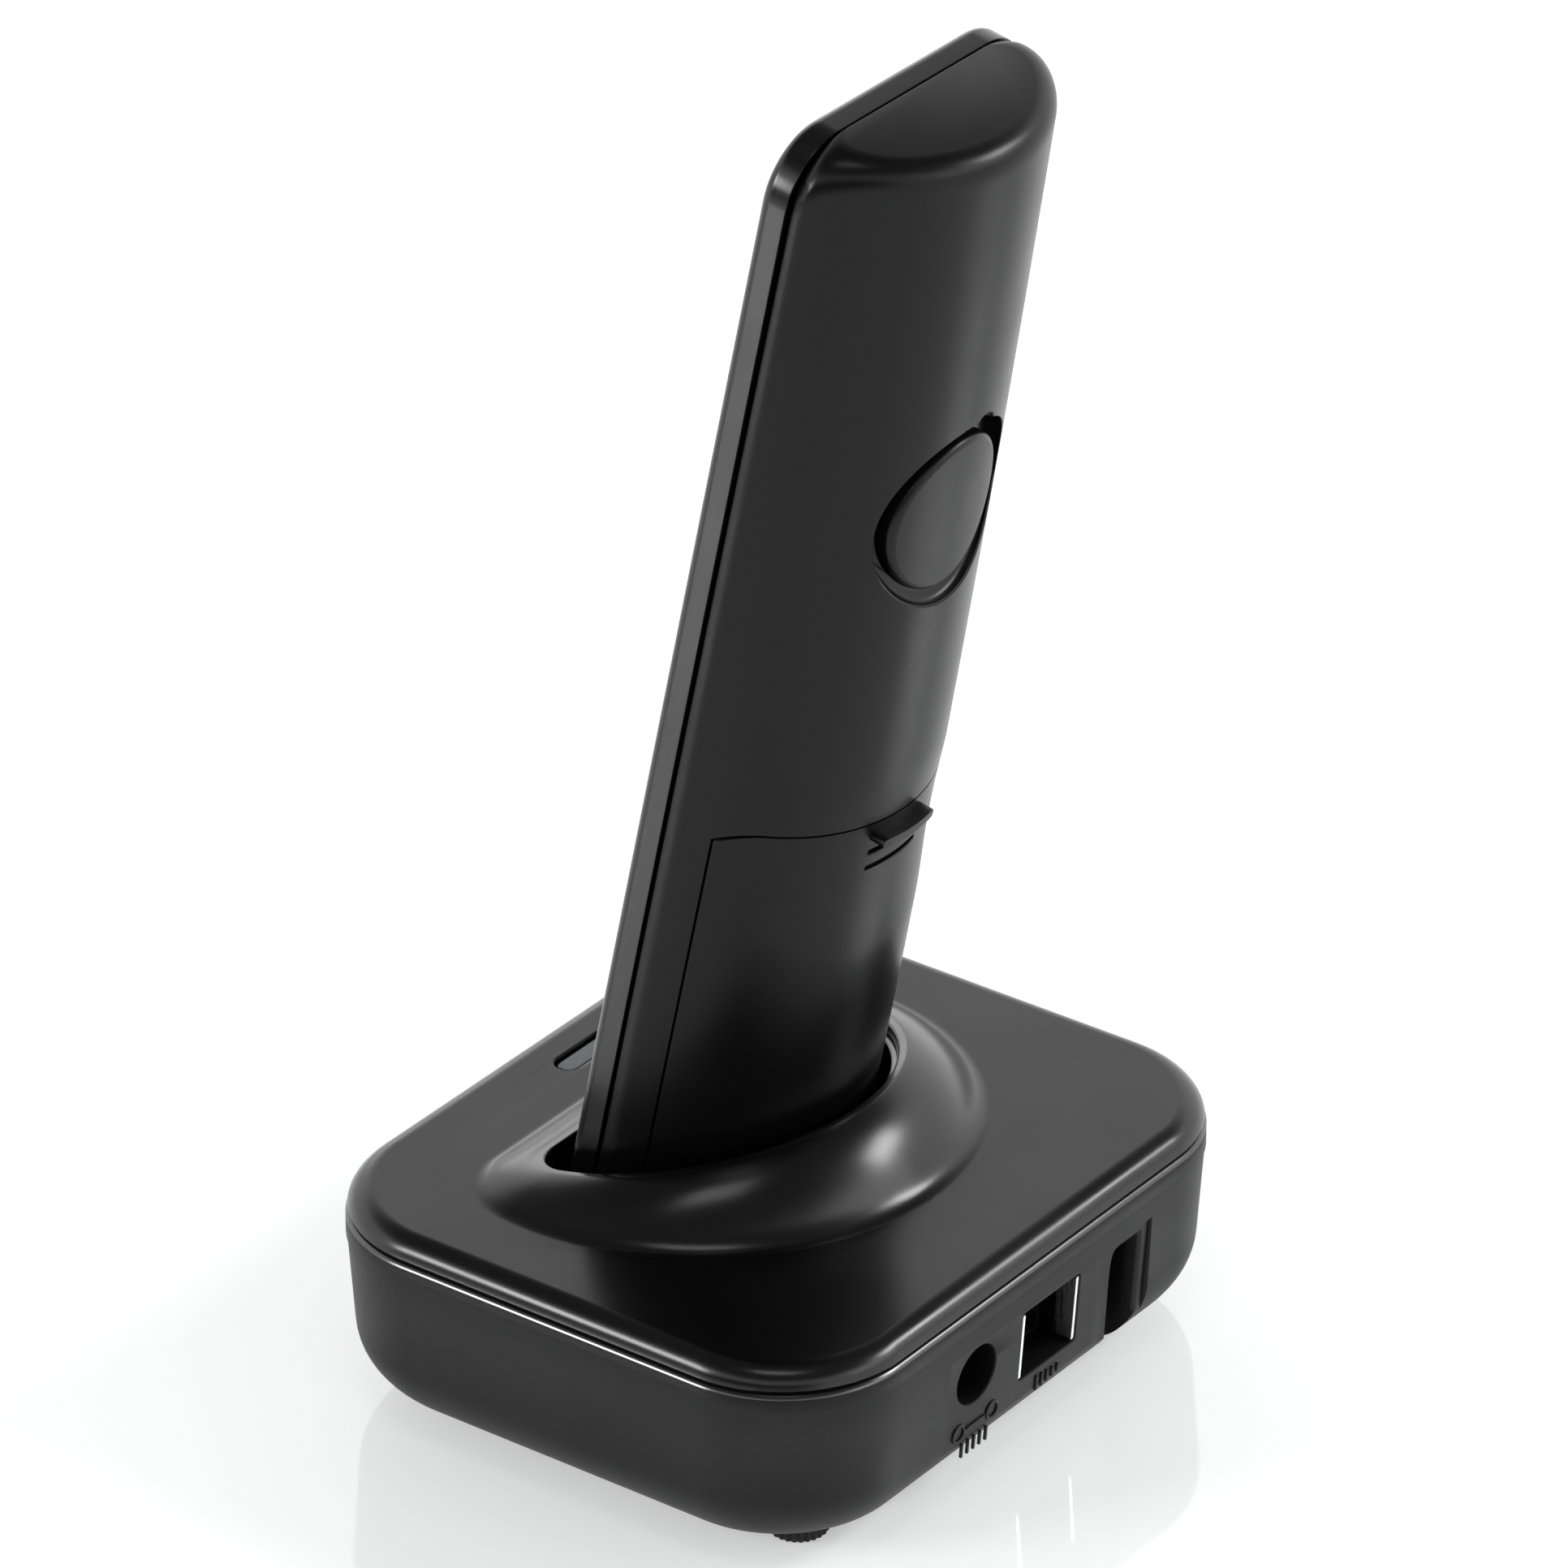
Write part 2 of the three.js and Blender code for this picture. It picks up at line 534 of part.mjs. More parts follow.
function beltClipPlug() {
  const back = handsetBack(CLIP.depth - GAP, -1);
  return clipCut(CLIP.disc).intersect(handsetBack(CLIP.discInset, 1)).subtract(back);
}
place(handsetFrame, 'belt_clip_plug', beltClipPlug(), satinBlack);

const handsetMiddle = (HANDSET.bottom + HANDSET.top) / 2;
const handsetHalfLength = (HANDSET.top - HANDSET.bottom) / 2;
function outlineRing(inset, y, steps = 6) {
  const points = roundedPoints(
    HANDSET.halfWidth - inset, handsetHalfLength - inset, HANDSET.corner - inset, steps, 0, handsetMiddle);
  return points.map(([x, z]) => new THREE.Vector3(x, y, z));
}

// ---------------------------------------------------------------- keys
const digitNames = ['1', '2', '3', '4', '5', '6', '7', '8', '9', 'star', '0', 'hash'];
const digitKeys = digitNames.map((label, i) => ({
  name: `key_${label}`,
  x: NUMBER_COLUMNS[i % 3],
  z: NUMBER_ROWS[Math.floor(i / 3)],
  ...DIGIT,
}));
const keys = [
  ...digitKeys,
  { name: 'soft_key_left', x: -15, z: 82.5, ...SOFT_KEY },
  { name: 'soft_key_right', x: 15, z: 82.5, ...SOFT_KEY },
  { name: 'talk_key', x: -15, z: 66, ...CALL_KEY },
  { name: 'end_key', x: 15, z: 66, ...CALL_KEY },
  { name: 'navigation_key', x: 0, z: 74, ...NAVIGATION },
];

const frontFace = -HANDSET.frontDepth;

function handsetFrontShell() {
  const fillet = HANDSET.frontFillet;
  const rings = [outlineRing(0, -GAP / 2)];
  for (const step of [0, 1, 2, 3]) {
    const angle = (step / 3) * (Math.PI / 2);
    rings.push(outlineRing(fillet * (1 - Math.cos(angle)), frontFace + fillet * (1 - Math.sin(angle))));
  }
  let solid = loft(rings);
  const inner = FRONT_WALL + 0.4;
  solid = solid.subtract(loft([outlineRing(inner, 1), outlineRing(inner, frontFace + FRONT_WALL)]));
  for (const key of keys) {
    const hole = frontPlate(key.halfX + GAP, key.halfZ + GAP, key.corner + GAP, key.x, key.z, -6, 0);
    solid = solid.subtract(hole);
  }
  const middle = (WINDOW.z0 + WINDOW.z1) / 2;
  const halfZ = (WINDOW.z1 - WINDOW.z0) / 2;
  const { halfWidth, radius } = WINDOW;
  solid = solid.subtract(frontPlate(halfWidth + GAP, halfZ + GAP, radius + GAP, 0, middle, -6, 0));
  for (const x of EARPIECE.slots) {
    const { halfX, halfZ: slotHalf, corner, z } = EARPIECE;
    solid = solid.subtract(frontPlate(halfX, slotHalf, corner, x, z, -6, 0, 3));
  }
  return solid.subtract(bar('y', MIC_HOLE.radius, -6, 0, [0, 0, MIC_HOLE.z], 12));
}
place(handsetFrame, 'handset_front_shell', handsetFrontShell(), satinBlack);

for (const key of keys) {
  const top = frontFace - KEY.proud;
  let pad = frontPlate(key.halfX, key.halfZ, key.corner, key.x, key.z, top, top + KEY.proud + KEY.thickness);
  if (key.name === 'navigation_key') {
    const dish = bar('y', DISH.radius, top - 1, top + DISH.depth, [key.x, 0, key.z], 20);
    pad = pad.subtract(dish);
  }
  place(handsetFrame, key.name, pad, darkGrey);
}

function displayWindow() {
  const middle = (WINDOW.z0 + WINDOW.z1) / 2;
  const halfZ = (WINDOW.z1 - WINDOW.z0) / 2;
  const back = frontFace + WINDOW.thickness;
  return frontPlate(WINDOW.halfWidth, halfZ, WINDOW.radius, 0, middle, frontFace + 0.1, back);
}
place(handsetFrame, 'display_window', displayWindow(), smoky);

// ---------------------------------------------------------------- inside the handset
const lcd = block(-LCD.halfX, LCD.halfX, frontFace + LCD.face, LCD.back, LCD.z0, LCD.z1);
const membrane = block(
  -MEMBRANE.halfX, MEMBRANE.halfX, MEMBRANE.y0, MEMBRANE.y1, MEMBRANE.z0, MEMBRANE.z1);
const handsetBoard = block(
  -HANDSET_BOARD.halfX, HANDSET_BOARD.halfX, -HANDSET_BOARD.halfY, HANDSET_BOARD.halfY,
  HANDSET_BOARD.z0, HANDSET_BOARD.z1);
const transducer = (radius, z, sides) => bar(
  'y', radius, frontFace + MICROPHONE.behind, LCD.back, [0, 0, z], sides);
place(handsetFrame, 'lcd_module', lcd, displayGrey);
place(handsetFrame, 'earpiece_speaker', transducer(SPEAKER.radius, SPEAKER.z, 24), darkGrey);
place(handsetFrame, 'microphone', transducer(MICROPHONE.radius, MIC_HOLE.z, 16), steel);
place(handsetFrame, 'keypad_membrane', membrane, rubberBlack);
place(handsetFrame, 'handset_circuit_board', handsetBoard, boardGreen);
const buzzer = bar('y', BUZZER.radius, BUZZER.y0, BUZZER.y1, [0, 0, BUZZER.z], 24);
place(handsetFrame, 'ringer_buzzer', buzzer, darkGrey);

function batteryTray() {
  const { radius, length, x, y, z0 } = CELL;
  const half = x + radius + TRAY.wall;
  let solid = block(-half, half, TRAY.y0, TRAY.y1, z0 - TRAY.below, z0 + length + TRAY.above);
  for (const side of [-1, 1]) {
    solid = solid.subtract(bar('z', radius + GAP, z0 - 3.4, z0 + length + 1.2, [side * x, y, 0], 20));
  }
  return solid;
}
place(handsetFrame, 'battery_tray', batteryTray(), mattBlack);

for (const side of [-1, 1]) {
  const word = side < 0 ? 'left' : 'right';
  const { radius, length, x, y, z0 } = CELL;
  const centre = [side * x, y, 0];
  const body = bar('z', radius, z0, z0 + length - 1.2, centre, 20);
  const nub = bar('z', CELL.nub, z0 + length - 1.3, z0 + length, centre, 12);
  place(handsetFrame, `battery_cell_${word}`, body.add(nub), cellBlue);
  const spring = bar('z', 2.4, z0 - 3.1, z0 - GAP, centre, 14, 1.4);
  place(handsetFrame, `battery_spring_${word}`, spring, steel);
  const contactX = side * CONTACT_X;
  const contact = block(contactX - 2, contactX + 2, 3, 7, HANDSET.bottom, HANDSET.bottom + WALL);
  place(handsetFrame, `handset_charge_contact_${word}`, contact, gold);
}

export default phone;
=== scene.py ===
import json
import math

import bmesh
import bpy
from mathutils import Matrix, Vector
from mathutils.bvhtree import BVHTree
from mathutils.geometry import tessellate_polygon
from mathutils.interpolate import poly_3d_calc


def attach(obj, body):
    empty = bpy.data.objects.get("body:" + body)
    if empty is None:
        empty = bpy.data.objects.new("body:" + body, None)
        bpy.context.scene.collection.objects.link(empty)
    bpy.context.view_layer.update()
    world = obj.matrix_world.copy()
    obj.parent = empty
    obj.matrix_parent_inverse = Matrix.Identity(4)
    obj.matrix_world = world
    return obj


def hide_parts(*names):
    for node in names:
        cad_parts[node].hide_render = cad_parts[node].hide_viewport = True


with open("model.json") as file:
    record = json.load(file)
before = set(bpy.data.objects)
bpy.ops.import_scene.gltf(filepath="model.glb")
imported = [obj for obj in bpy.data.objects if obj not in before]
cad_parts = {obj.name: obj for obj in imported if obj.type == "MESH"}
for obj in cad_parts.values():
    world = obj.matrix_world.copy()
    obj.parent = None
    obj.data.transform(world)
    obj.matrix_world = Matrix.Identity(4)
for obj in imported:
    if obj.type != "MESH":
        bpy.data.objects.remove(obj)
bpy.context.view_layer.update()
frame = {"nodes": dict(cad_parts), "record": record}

# ---- driving sizes, millimetres
MM = 0.001
GAP = 0.3
WALL = 1.8
FOOT_PROUD = 2.0

BASE_X, BASE_Y, BASE_CORNER = 48.6, 41.2, 18.2
CORNER_SHRINK = 0.6
SEAM, TOP = 25.2, 28.4
TOP_FILLET, TOP_INSET = 3.0, 0.2
BAND, TAPER = 3.4, math.radians(3.2)
SEAM_REVEAL = [(0.7, 0), (0.62, 0.05), (0.56, 0.22), (0.16, 0.26), (0.05, 0.31), (0.01, 0.4)]
INNER_FILLET = 1.3
RIM_DROP = 0.5
RIM_PROFILE = [(0.02, 0.46), (0.13, 0.26), (0.16, 0.22), (0.34, 0.04), (0.38, 0.0)]
FILLET_IN, FILLET_UP = 8.0, 9.0

LEAN = math.radians(11.9)
HANDSET_Y = -11.7
MOUTH = dict(front=0.0, centre=6.2, radius=27.5, corner=6.0)
MOUTH_Z = 30.3
MOUTH_RISE = math.radians(12.5)
MOUTH_EDGE = -20.0
COLLAR = dict(front=-26.3, centre=-12.4, radius=37.0, corner=11.0)
LIP, RIM_REACH = 0.7, 0.6
CUP_WALL, CUP_FLOOR, CUP_THICK = 1.1, -15.4, 1.6

HALF_WIDTH, BOTTOM, HEAD = 23.6, -13.0, 154.4
CORNER, END_FILLET = 8.5, 3.2
FRONT_DEPTH, FRONT_FILLET = 4.1, 1.6
SPLIT = 0.1
ARCH_CROWN, ARCH_SLOPE, ARCH_CURVE = 20.6, 0.0065, 0.00016
DOOR_SEAM, DOOR_HALF, DOOR_TOP, DOOR_BOTTOM = 6.3, 22.3, 57.3, -16.0
DOOR_CORNER, DOOR_THICK = 4.6, 1.5
GRIP_ROWS = (50.2, 52.7, 55.2)
CLIP_Z, CLIP_RADIUS, DISC_RADIUS = 101.8, 12.7, 10.5
CLIP_DEPTH = 2.6

PANEL_X0, PANEL_X1, PANEL_TOP = -24.2, 19.4, 19.4
PANEL_TOP_Y, PANEL_BOTTOM_Y = 40.5, 39.0
PORT_X, PORT_WIDTH, PORT_Z0, PORT_Z1 = -3.2, 12.2, 8.1, 18.3
POWER_X, POWER_Z, POWER_RADIUS = 12.7, 14.3, 4.1
SLOT_X0, SLOT_X1, SLOT_TOP, SLOT_DEPTH = -21.6, -17.0, 18.2, 9.6
SLOT_RAMP, SLOT_RAMP_DEPTH, SLOT_ROLL = 4.6, 0.6, 1.9
PORT_DEPTH, JACK_FACE = 9.0, 34.1

FOOT_X, FOOT_Y, FOOT_RADIUS, FOOT_RECESS = 33.8, 28.0, 4.2, 1.2
SCREW_X, SCREW_Y = 32.0, 12.0
PAGE_X, PAGE_Y, PAGE_WIDTH, PAGE_HEIGHT, PAGE_SUNK = -2.7, -32.7, 11.0, 3.2, 0.4
CONTACT_X = 12.0

CASE = Matrix.Translation((0, 0, FOOT_PROUD))
HAND = CASE @ Matrix.Translation((0, HANDSET_Y, MOUTH_Z)) @ Matrix.Rotation(-LEAN, 4, "X")


# ---- outlines
def arc(cx, cy, radius, start, end, steps):
    """Points along an arc, both ends included."""
    turns = [start + (end - start) * i / steps for i in range(steps + 1)]
    return [(cx + radius * math.cos(t), cy + radius * math.sin(t)) for t in turns]


def rounded(half_x, half_y, corner, steps=8, cx=0.0, cy=0.0):
    """A rectangle with round corners, counterclockwise."""
    points = []
    for k, (sx, sy) in enumerate([(1, 1), (-1, 1), (-1, -1), (1, -1)]):
        x = cx + sx * (half_x - corner)
        y = cy + sy * (half_y - corner)
        points += arc(x, y, corner, k * math.pi / 2, (k + 1) * math.pi / 2, steps)
    return points


def d_shape(front, centre, radius, corner, grow=0.0, steps=96, corner_steps=18):
    """A D outline with a straight front, counterclockwise."""
    corner_y = front + corner
    corner_x = math.sqrt((radius - corner) ** 2 - (corner_y - centre) ** 2)
    tangent = math.atan2(corner_y - centre, corner_x)
    small = corner + grow
    right = arc(corner_x, corner_y, small, -math.pi / 2, tangent, corner_steps)
    back = arc(0, centre, radius + grow, tangent, math.pi - tangent, steps)
    left = arc(-corner_x, corner_y, small, math.pi - tangent, math.pi * 1.5, corner_steps)
    return right + back[1:-1] + left


def quarter(steps, first=0):
    """The sine and cosine at even steps of a quarter turn."""
    turns = [i / steps * math.pi / 2 for i in range(first, steps + 1)]
    return [(math.sin(turn), math.cos(turn)) for turn in turns]


def slab(half_x, half_y, corner, steps=8, cx=0.0, cy=0.0):
    """A function that gives the rounded outline drawn in by an inset, at a height."""
    def ring(inset, height):
        narrow = max(corner - inset, 0.15)
        points = rounded(half_x - inset, half_y - inset, narrow, steps, cx, cy)
        return [(x, y, height) for x, y in points]
    return ring


def turned(radius, z, cx=0.0, cy=0.0, sides=40):
    """A circle at height z."""
    turns = [2 * math.pi * i / sides for i in range(sides)]
    return [(cx + radius * math.cos(a), cy + radius * math.sin(a), z) for a in turns]


# ---- skins
class Skin:
    """The points and faces of one closed surface, in millimetres."""

    def __init__(self):
        self.points = []
        self.faces = []

    def ring(self, points):
        start = len(self.points)
        self.points.extend(Vector(p) for p in points)
        return list(range(start, len(self.points)))

    def bridge(self, low, high):
        count = len(low)
        for i in range(count):
            j = (i + 1) % count
            self.faces.append((low[i], low[j], high[j], high[i]))

    def stack(self, rings):
        rows = [self.ring(r) for r in rings]
        for low, high in zip(rows, rows[1:]):
            self.bridge(low, high)
        return rows

    def fill(self, rings, up=True):
        """Triangles over a flat region: the first ring is its edge and the others are holes."""
        loops = [[self.points[i] for i in ring] for ring in rings]
        index = [i for ring in rings for i in ring]
        for a, b, c in tessellate_polygon(loops):
            a, b, c = index[a], index[b], index[c]
            normal = (self.points[b] - self.points[a]).cross(self.points[c] - self.points[a])
            if normal.length < 1e-12:
                continue
            self.faces.append((a, b, c) if (normal.z > 0) == up else (a, c, b))

    def cap(self, ring, flip=False):
        self.faces.append(tuple(reversed(ring)) if flip else tuple(ring))

    def mesh(self, name, matrix):
        data = bpy.data.meshes.new(name)
        where = Matrix.Scale(MM, 4) @ matrix
        data.from_pydata([where @ p for p in self.points], [], self.faces)
        data.validate()
        shape = bmesh.new()
        shape.from_mesh(data)
        bmesh.ops.recalc_face_normals(shape, faces=shape.faces)
        shape.to_mesh(data)
        shape.free()
        data.update()
        return data


def lofted(rings):
    """A closed skin through a stack of rings, low end first."""
    skin = Skin()
    rows = skin.stack(rings)
    skin.cap(rows[0], flip=True)
    skin.cap(rows[-1])
    return skin


def placed(name, data):
    obj = bpy.data.objects.new(name, data)
    bpy.context.scene.collection.objects.link(obj)
    return obj


def thing(name, skin, matrix):
    return placed(name, skin.mesh(name, matrix))


def twin(obj):
    """A smooth copy that isn't in the scene."""
    copy = obj.copy()
    copy.data = obj.data.copy()
    copy.data.shade_smooth()
    return copy


def baked(obj):
    """The mesh of an object as its modifiers leave it."""
    bpy.context.view_layer.update()
    graph = bpy.context.evaluated_depsgraph_get()
    return bpy.data.meshes.new_from_object(obj.evaluated_get(graph))


def carve(obj, tools, operation="DIFFERENCE"):
    """Cuts obj with each tool, or joins or intersects it, and deletes the tools."""
    for tool in tools:
        modifier = obj.modifiers.new("carve", "BOOLEAN")
        modifier.operation = operation
        modifier.solver = "EXACT"
        modifier.object = tool
        data = baked(obj)
        obj.modifiers.clear()
        obj.data = data
        bpy.data.objects.remove(tool)
    return obj


def finish_piece(obj, material, body, nodes=(), sharp=40.0):
    """Shading, material and parent body of one visible piece, hiding the imported parts it stands
    for.
    """
    obj.data.shade_smooth()
    obj.data.set_sharp_from_angle(angle=math.radians(sharp))
    obj.data.materials.clear()
    obj.data.materials.append(material)
    modifier = obj.modifiers.new("normals", "WEIGHTED_NORMAL")
    modifier.keep_sharp = True
    modifier.mode = "FACE_AREA_WITH_ANGLE"
    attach(obj, body)
    if nodes:
        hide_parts(*nodes)
    return obj


def borrow_normals(obj, source, near=0.02 * MM, limit=35.0):
    """Keeps the smooth shading of the uncut surface on the faces that are left of it."""
    tree_points = [v.co.copy() for v in source.data.vertices]
    tree_faces = [tuple(p.vertices) for p in source.data.polygons]
    tree = BVHTree.FromPolygons(tree_points, tree_faces)
    smooth = [v.normal.copy() for v in source.data.vertices]
    normals = [Vector(n.vector) for n in obj.data.corner_normals]
    close = math.cos(math.radians(limit))
    for face in obj.data.polygons:
        _, _, over, away = tree.find_nearest(face.center)
        if away > near or source.data.polygons[over].normal.dot(face.normal) < close:
            continue
        for loop in face.loop_indices:
            point = obj.data.vertices[obj.data.loops[loop].vertex_index].co
            _, _, hit, _ = tree.find_nearest(point)
            corners = tree_faces[hit]
            weights = poly_3d_calc([tree_points[c] for c in corners], point)
            blended = Vector((0, 0, 0))
            for corner, weight in zip(corners, weights):
                blended += smooth[corner] * weight
            normals[loop] = blended.normalized()
    obj.data.normals_split_custom_set(normals)


def finish_carved(obj, source, materials, body, node):
    """As finish_piece, with the shading of the uncut surface."""
    obj.data.shade_smooth()
    obj.data.set_sharp_from_angle(angle=math.radians(30))
    borrow_normals(obj, source)
    obj.data.materials.clear()
    for material in materials:
        obj.data.materials.append(material)
    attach(obj, body)
    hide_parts(node)


# ---- base rings
def case_ring(inset, z, steps=20):
    corner = BASE_CORNER - inset * CORNER_SHRINK
    return [(x, y, z) for x, y in rounded(BASE_X - inset, BASE_Y - inset, corner, steps)]


def rim_ring(grow, lift=0.0):
    """The mouth's outline on its rising plane, grown in the plane and lifted off it."""
    along, up = math.cos(MOUTH_RISE), math.sin(MOUTH_RISE)
    return [Vector((x, MOUTH_EDGE + v * along - lift * up, MOUTH_Z + v * up + lift * along))
            for x, v in d_shape(**MOUTH, grow=grow)]


def bend(a, control, b, share):
    """A point on the quadratic curve from a to b."""
    return a.lerp(control, share).lerp(control.lerp(b, share), share)


def flank_height(share):
    """The collar's rise: a soft hollow foot, then a slope that eases off towards the lip."""
    if share < 0.28:
        return 3.04 * share ** 2
    run = share - 0.28
    return 0.238 + 1.7 * run - 0.9 * run ** 2


def collar_rows():
    """Rings from the collar's foot on the flat top, over its lip and into the pocket."""
    foot = [Vector((x, y, TOP)) for x, y in d_shape(**COLLAR)]
    edge = [Vector((p.x, p.y, max(p.z, TOP + 0.02))) for p in rim_ring(LIP)]

    def flank(share):
        height = flank_height(share)
        return [Vector((f.x + (e.x - f.x) * share, f.y + (e.y - f.y) * share,
                        TOP + (e.z - TOP) * height)) for f, e in zip(foot, edge)]

    rows = [flank(i / 26) for i in range(25)]
    start = rows[-1]
    inner = [Vector((p.x, p.y, max(p.z, TOP + 0.02))) for p in rim_ring(LIP * 0.45)]
    for i in range(1, 7):
        rows.append([bend(a, c, b, i / 6) for a, c, b in zip(start, edge, inner)])
    axis = Vector((0, math.sin(LEAN), math.cos(LEAN)))
    flat, corner = rim_ring(0.38 - RIM_REACH), rim_ring(-RIM_REACH)
    for i in range(0, 7):
        rows.append([bend(a, c, c - axis * 0.38, i / 6) for a, c in zip(flat, corner)])
    rows.append([c - axis * 1.3 for c in corner])
    under = [c - axis * 2.3 for c in rim_ring(0.0)]
    rows.append([c - axis * 1.3 for c in rim_ring(0.0)])
    rows.append(under)
    inner_foot = [Vector((x, y, TOP - WALL)) for x, y in d_shape(**COLLAR, grow=-1.5)]
    for i in range(1, 7):
        share = i / 6
        rows.append([Vector((u.x + (f.x - u.x) * share, u.y + (f.y - u.y) * share,
                             u.z + (f.z - u.z) * share ** 0.6))
                     for u, f in zip(under, inner_foot)])
    return rows


page_ring = slab(PAGE_WIDTH / 2, PAGE_HEIGHT / 2, PAGE_HEIGHT / 2 - 0.01, 10, PAGE_X, PAGE_Y)


def base_top():
    skin = Skin()
    walls = []
    for sine, cosine in reversed(quarter(8)):
        z = TOP - WALL - INNER_FILLET * (1 - sine)
        walls.append(case_ring(TOP_INSET + WALL + INNER_FILLET * (1 - cosine), z))
    bottom = SEAM + GAP / 2
    walls.append(case_ring(TOP_INSET + WALL, bottom + 0.02))
    for inset, lift in SEAM_REVEAL:
        walls.append(case_ring(TOP_INSET + inset, bottom + lift))
    for sine, cosine in quarter(18, 3):
        z = TOP - TOP_FILLET + TOP_FILLET * sine
        walls.append(case_ring(TOP_INSET + TOP_FILLET * (1 - cosine), z))
    sides = skin.stack(walls)
    collar = skin.stack(collar_rows())
    edge = ((0.25, 0.0), (0.08, 0.07), (0.0, 0.25), (0.0, WALL))
    page = skin.stack([page_ring(-GAP - grow, TOP - drop) for grow, drop in edge])
    skin.fill([sides[-1], collar[0], page[0]])
    skin.fill([sides[0], collar[-1], page[-1]], up=False)
    return thing("base_top", skin, CASE)


def lower_rings(inset, lift, top, steps=16, ledge=0.0):
    """Rings of the lower casing from its underside up to the band's end."""
    band_end = SEAM - BAND
    rings = []
    for sine, cosine in reversed(quarter(steps)):
        z = FILLET_UP * (1 - sine)
        wall = (band_end - z) * math.tan(TAPER) + ledge
        rings.append((inset + wall + FILLET_IN * (1 - cosine), z + lift))
    rings.append((inset + ledge, band_end - 0.12))
    rings.append((inset, band_end))
    rings.append((inset, top))
    return rings


def round_tool(cx, cy, radius, z0, z1, flare=0.25, sides=40):
    """A cutter for a hole in the underside, with a widened mouth."""
    wide = radius + flare
    stations = ((wide, z0 - 1), (wide, z0), (radius, z0 + flare), (radius, z1))
    return thing("tool", lofted([turned(r, z, cx, cy, sides) for r, z in stations]), CASE)


def panel_y(z):
    return PANEL_TOP_Y - (PANEL_TOP - z) * (PANEL_TOP_Y - PANEL_BOTTOM_Y) / PANEL_TOP


def case_y(z):
    """The lower casing's rear face at height z."""
    band_end = SEAM - BAND
    if z >= band_end:
        return BASE_Y
    inset = (band_end - z) * math.tan(TAPER)
    if z < FILLET_UP:
        rise = min(max(1 - z / FILLET_UP, 0), 1)
        inset += FILLET_IN * (1 - math.sqrt(max(1 - rise * rise, 0)))
    return BASE_Y - inset


def panel_tool():
    """Cuts the sockets' flat panel, whose edges are eased into the casing."""
    levels = [-1.5 + 0.75 * i for i in range(28)] + [PANEL_TOP]
    rows = []
    for z in levels:
        deep = panel_y(z)
        skin_y = max(case_y(z), deep + 0.05)
        step = skin_y - deep
        ease = min(0.9, 0.3 + step * 0.5)
        row = [(PANEL_X0, deep)]
        for sine, cosine in quarter(8, 1):
            row.append((PANEL_X0 - ease * (1 - cosine), deep + step * sine))
        edge = min(0.22, step * 0.5)
        row += [(PANEL_X0 - ease, 60.0), (PANEL_X1 + edge, 60.0), (PANEL_X1 + edge, skin_y + 0.02),
                (PANEL_X1 + edge * 0.3, skin_y - edge * 0.4), (PANEL_X1, skin_y - edge),
                (PANEL_X1, deep)]
        rows.append([(x, y, z) for x, y in reversed(row)])
    return thing("tool", lofted(rows), CASE)


def socket_tool(outline, floor_y, flare=0.25):
    """A cutter for an opening in the panel, from outside down to floor_y."""
    def ring(grow, depth):
        return [(x, panel_y(z) - depth, z) for x, z in outline(grow)]
    outside = [(x, 60.0, z) for x, z in outline(flare)]
    deep = [(x, floor_y, z) for x, z in outline(0.0)]
    rings = [outside, ring(flare, -0.02), ring(flare * 0.35, flare * 0.3), ring(0.0, flare), deep]
    return thing("tool", lofted(rings), CASE)


def port_outline(grow):
    """The line socket in x and z, the way round that a cutter along -Y needs."""
    half_x, half_z = PORT_WIDTH / 2 + grow, (PORT_Z1 - PORT_Z0) / 2 + grow
    return rounded(half_x, half_z, 0.5 + grow, 5, PORT_X, (PORT_Z0 + PORT_Z1) / 2)[::-1]


def power_outline(grow):
    return arc(POWER_X, POWER_Z, POWER_RADIUS + grow, 0, 2 * math.pi * 63 / 64, 63)[::-1]


def slot_tool():
    """The cable slot: open at the underside, with both of its edges eased."""
    floor = PANEL_BOTTOM_Y - SLOT_DEPTH
    rows = []
    for z in [-1.5 + 1.2 * i for i in range(15)] + [16.4, 17.2, 17.8, SLOT_TOP]:
        mouth = panel_y(max(z, 0))
        narrow = 0.9 * (1 - max(z, 0) / SLOT_TOP)
        shut = 1.0 - math.sqrt(max(1 - (max(z - 16.4, 0) / 2.0) ** 2, 0))
        x0, x1 = SLOT_X0 + 0.5 * shut, SLOT_X1 - narrow * 0.4 - 1.6 * shut
        dip = SLOT_RAMP_DEPTH * math.sqrt(max(1 - (max(z - 12.5, 0) / 5.7) ** 2, 0))
        row = [(x0, floor + 0.6), (x0 + 0.6, floor), (x1 - 0.6, floor), (x1, floor + 0.6)]
        row.append((x1, mouth - 0.1 - dip))
        for i in range(9):
            share = i / 8
            sunk = dip * (1 + math.cos(math.pi * share)) / 2
            row.append((x1 + 0.12 + SLOT_RAMP * share, mouth + 0.02 - sunk))
        row += [(x1 + 0.2 + SLOT_RAMP, 60.0), (x0 - SLOT_ROLL, 60.0)]
        for sine, cosine in quarter(8):
            row.append((x0 - SLOT_ROLL * (1 - sine), mouth + 0.02 - 2.2 * (1 - cosine)))
        rows.append([(x, y, z) for x, y in row])
    return thing("tool", lofted(rows), CASE)


def block(x0, x1, y0, y1, z0, z1, matrix, name="tool"):
    skin = lofted([[(x0, y0, z), (x1, y0, z), (x1, y1, z), (x0, y1, z)] for z in (z0, z1)])
    return thing(name, skin, matrix)


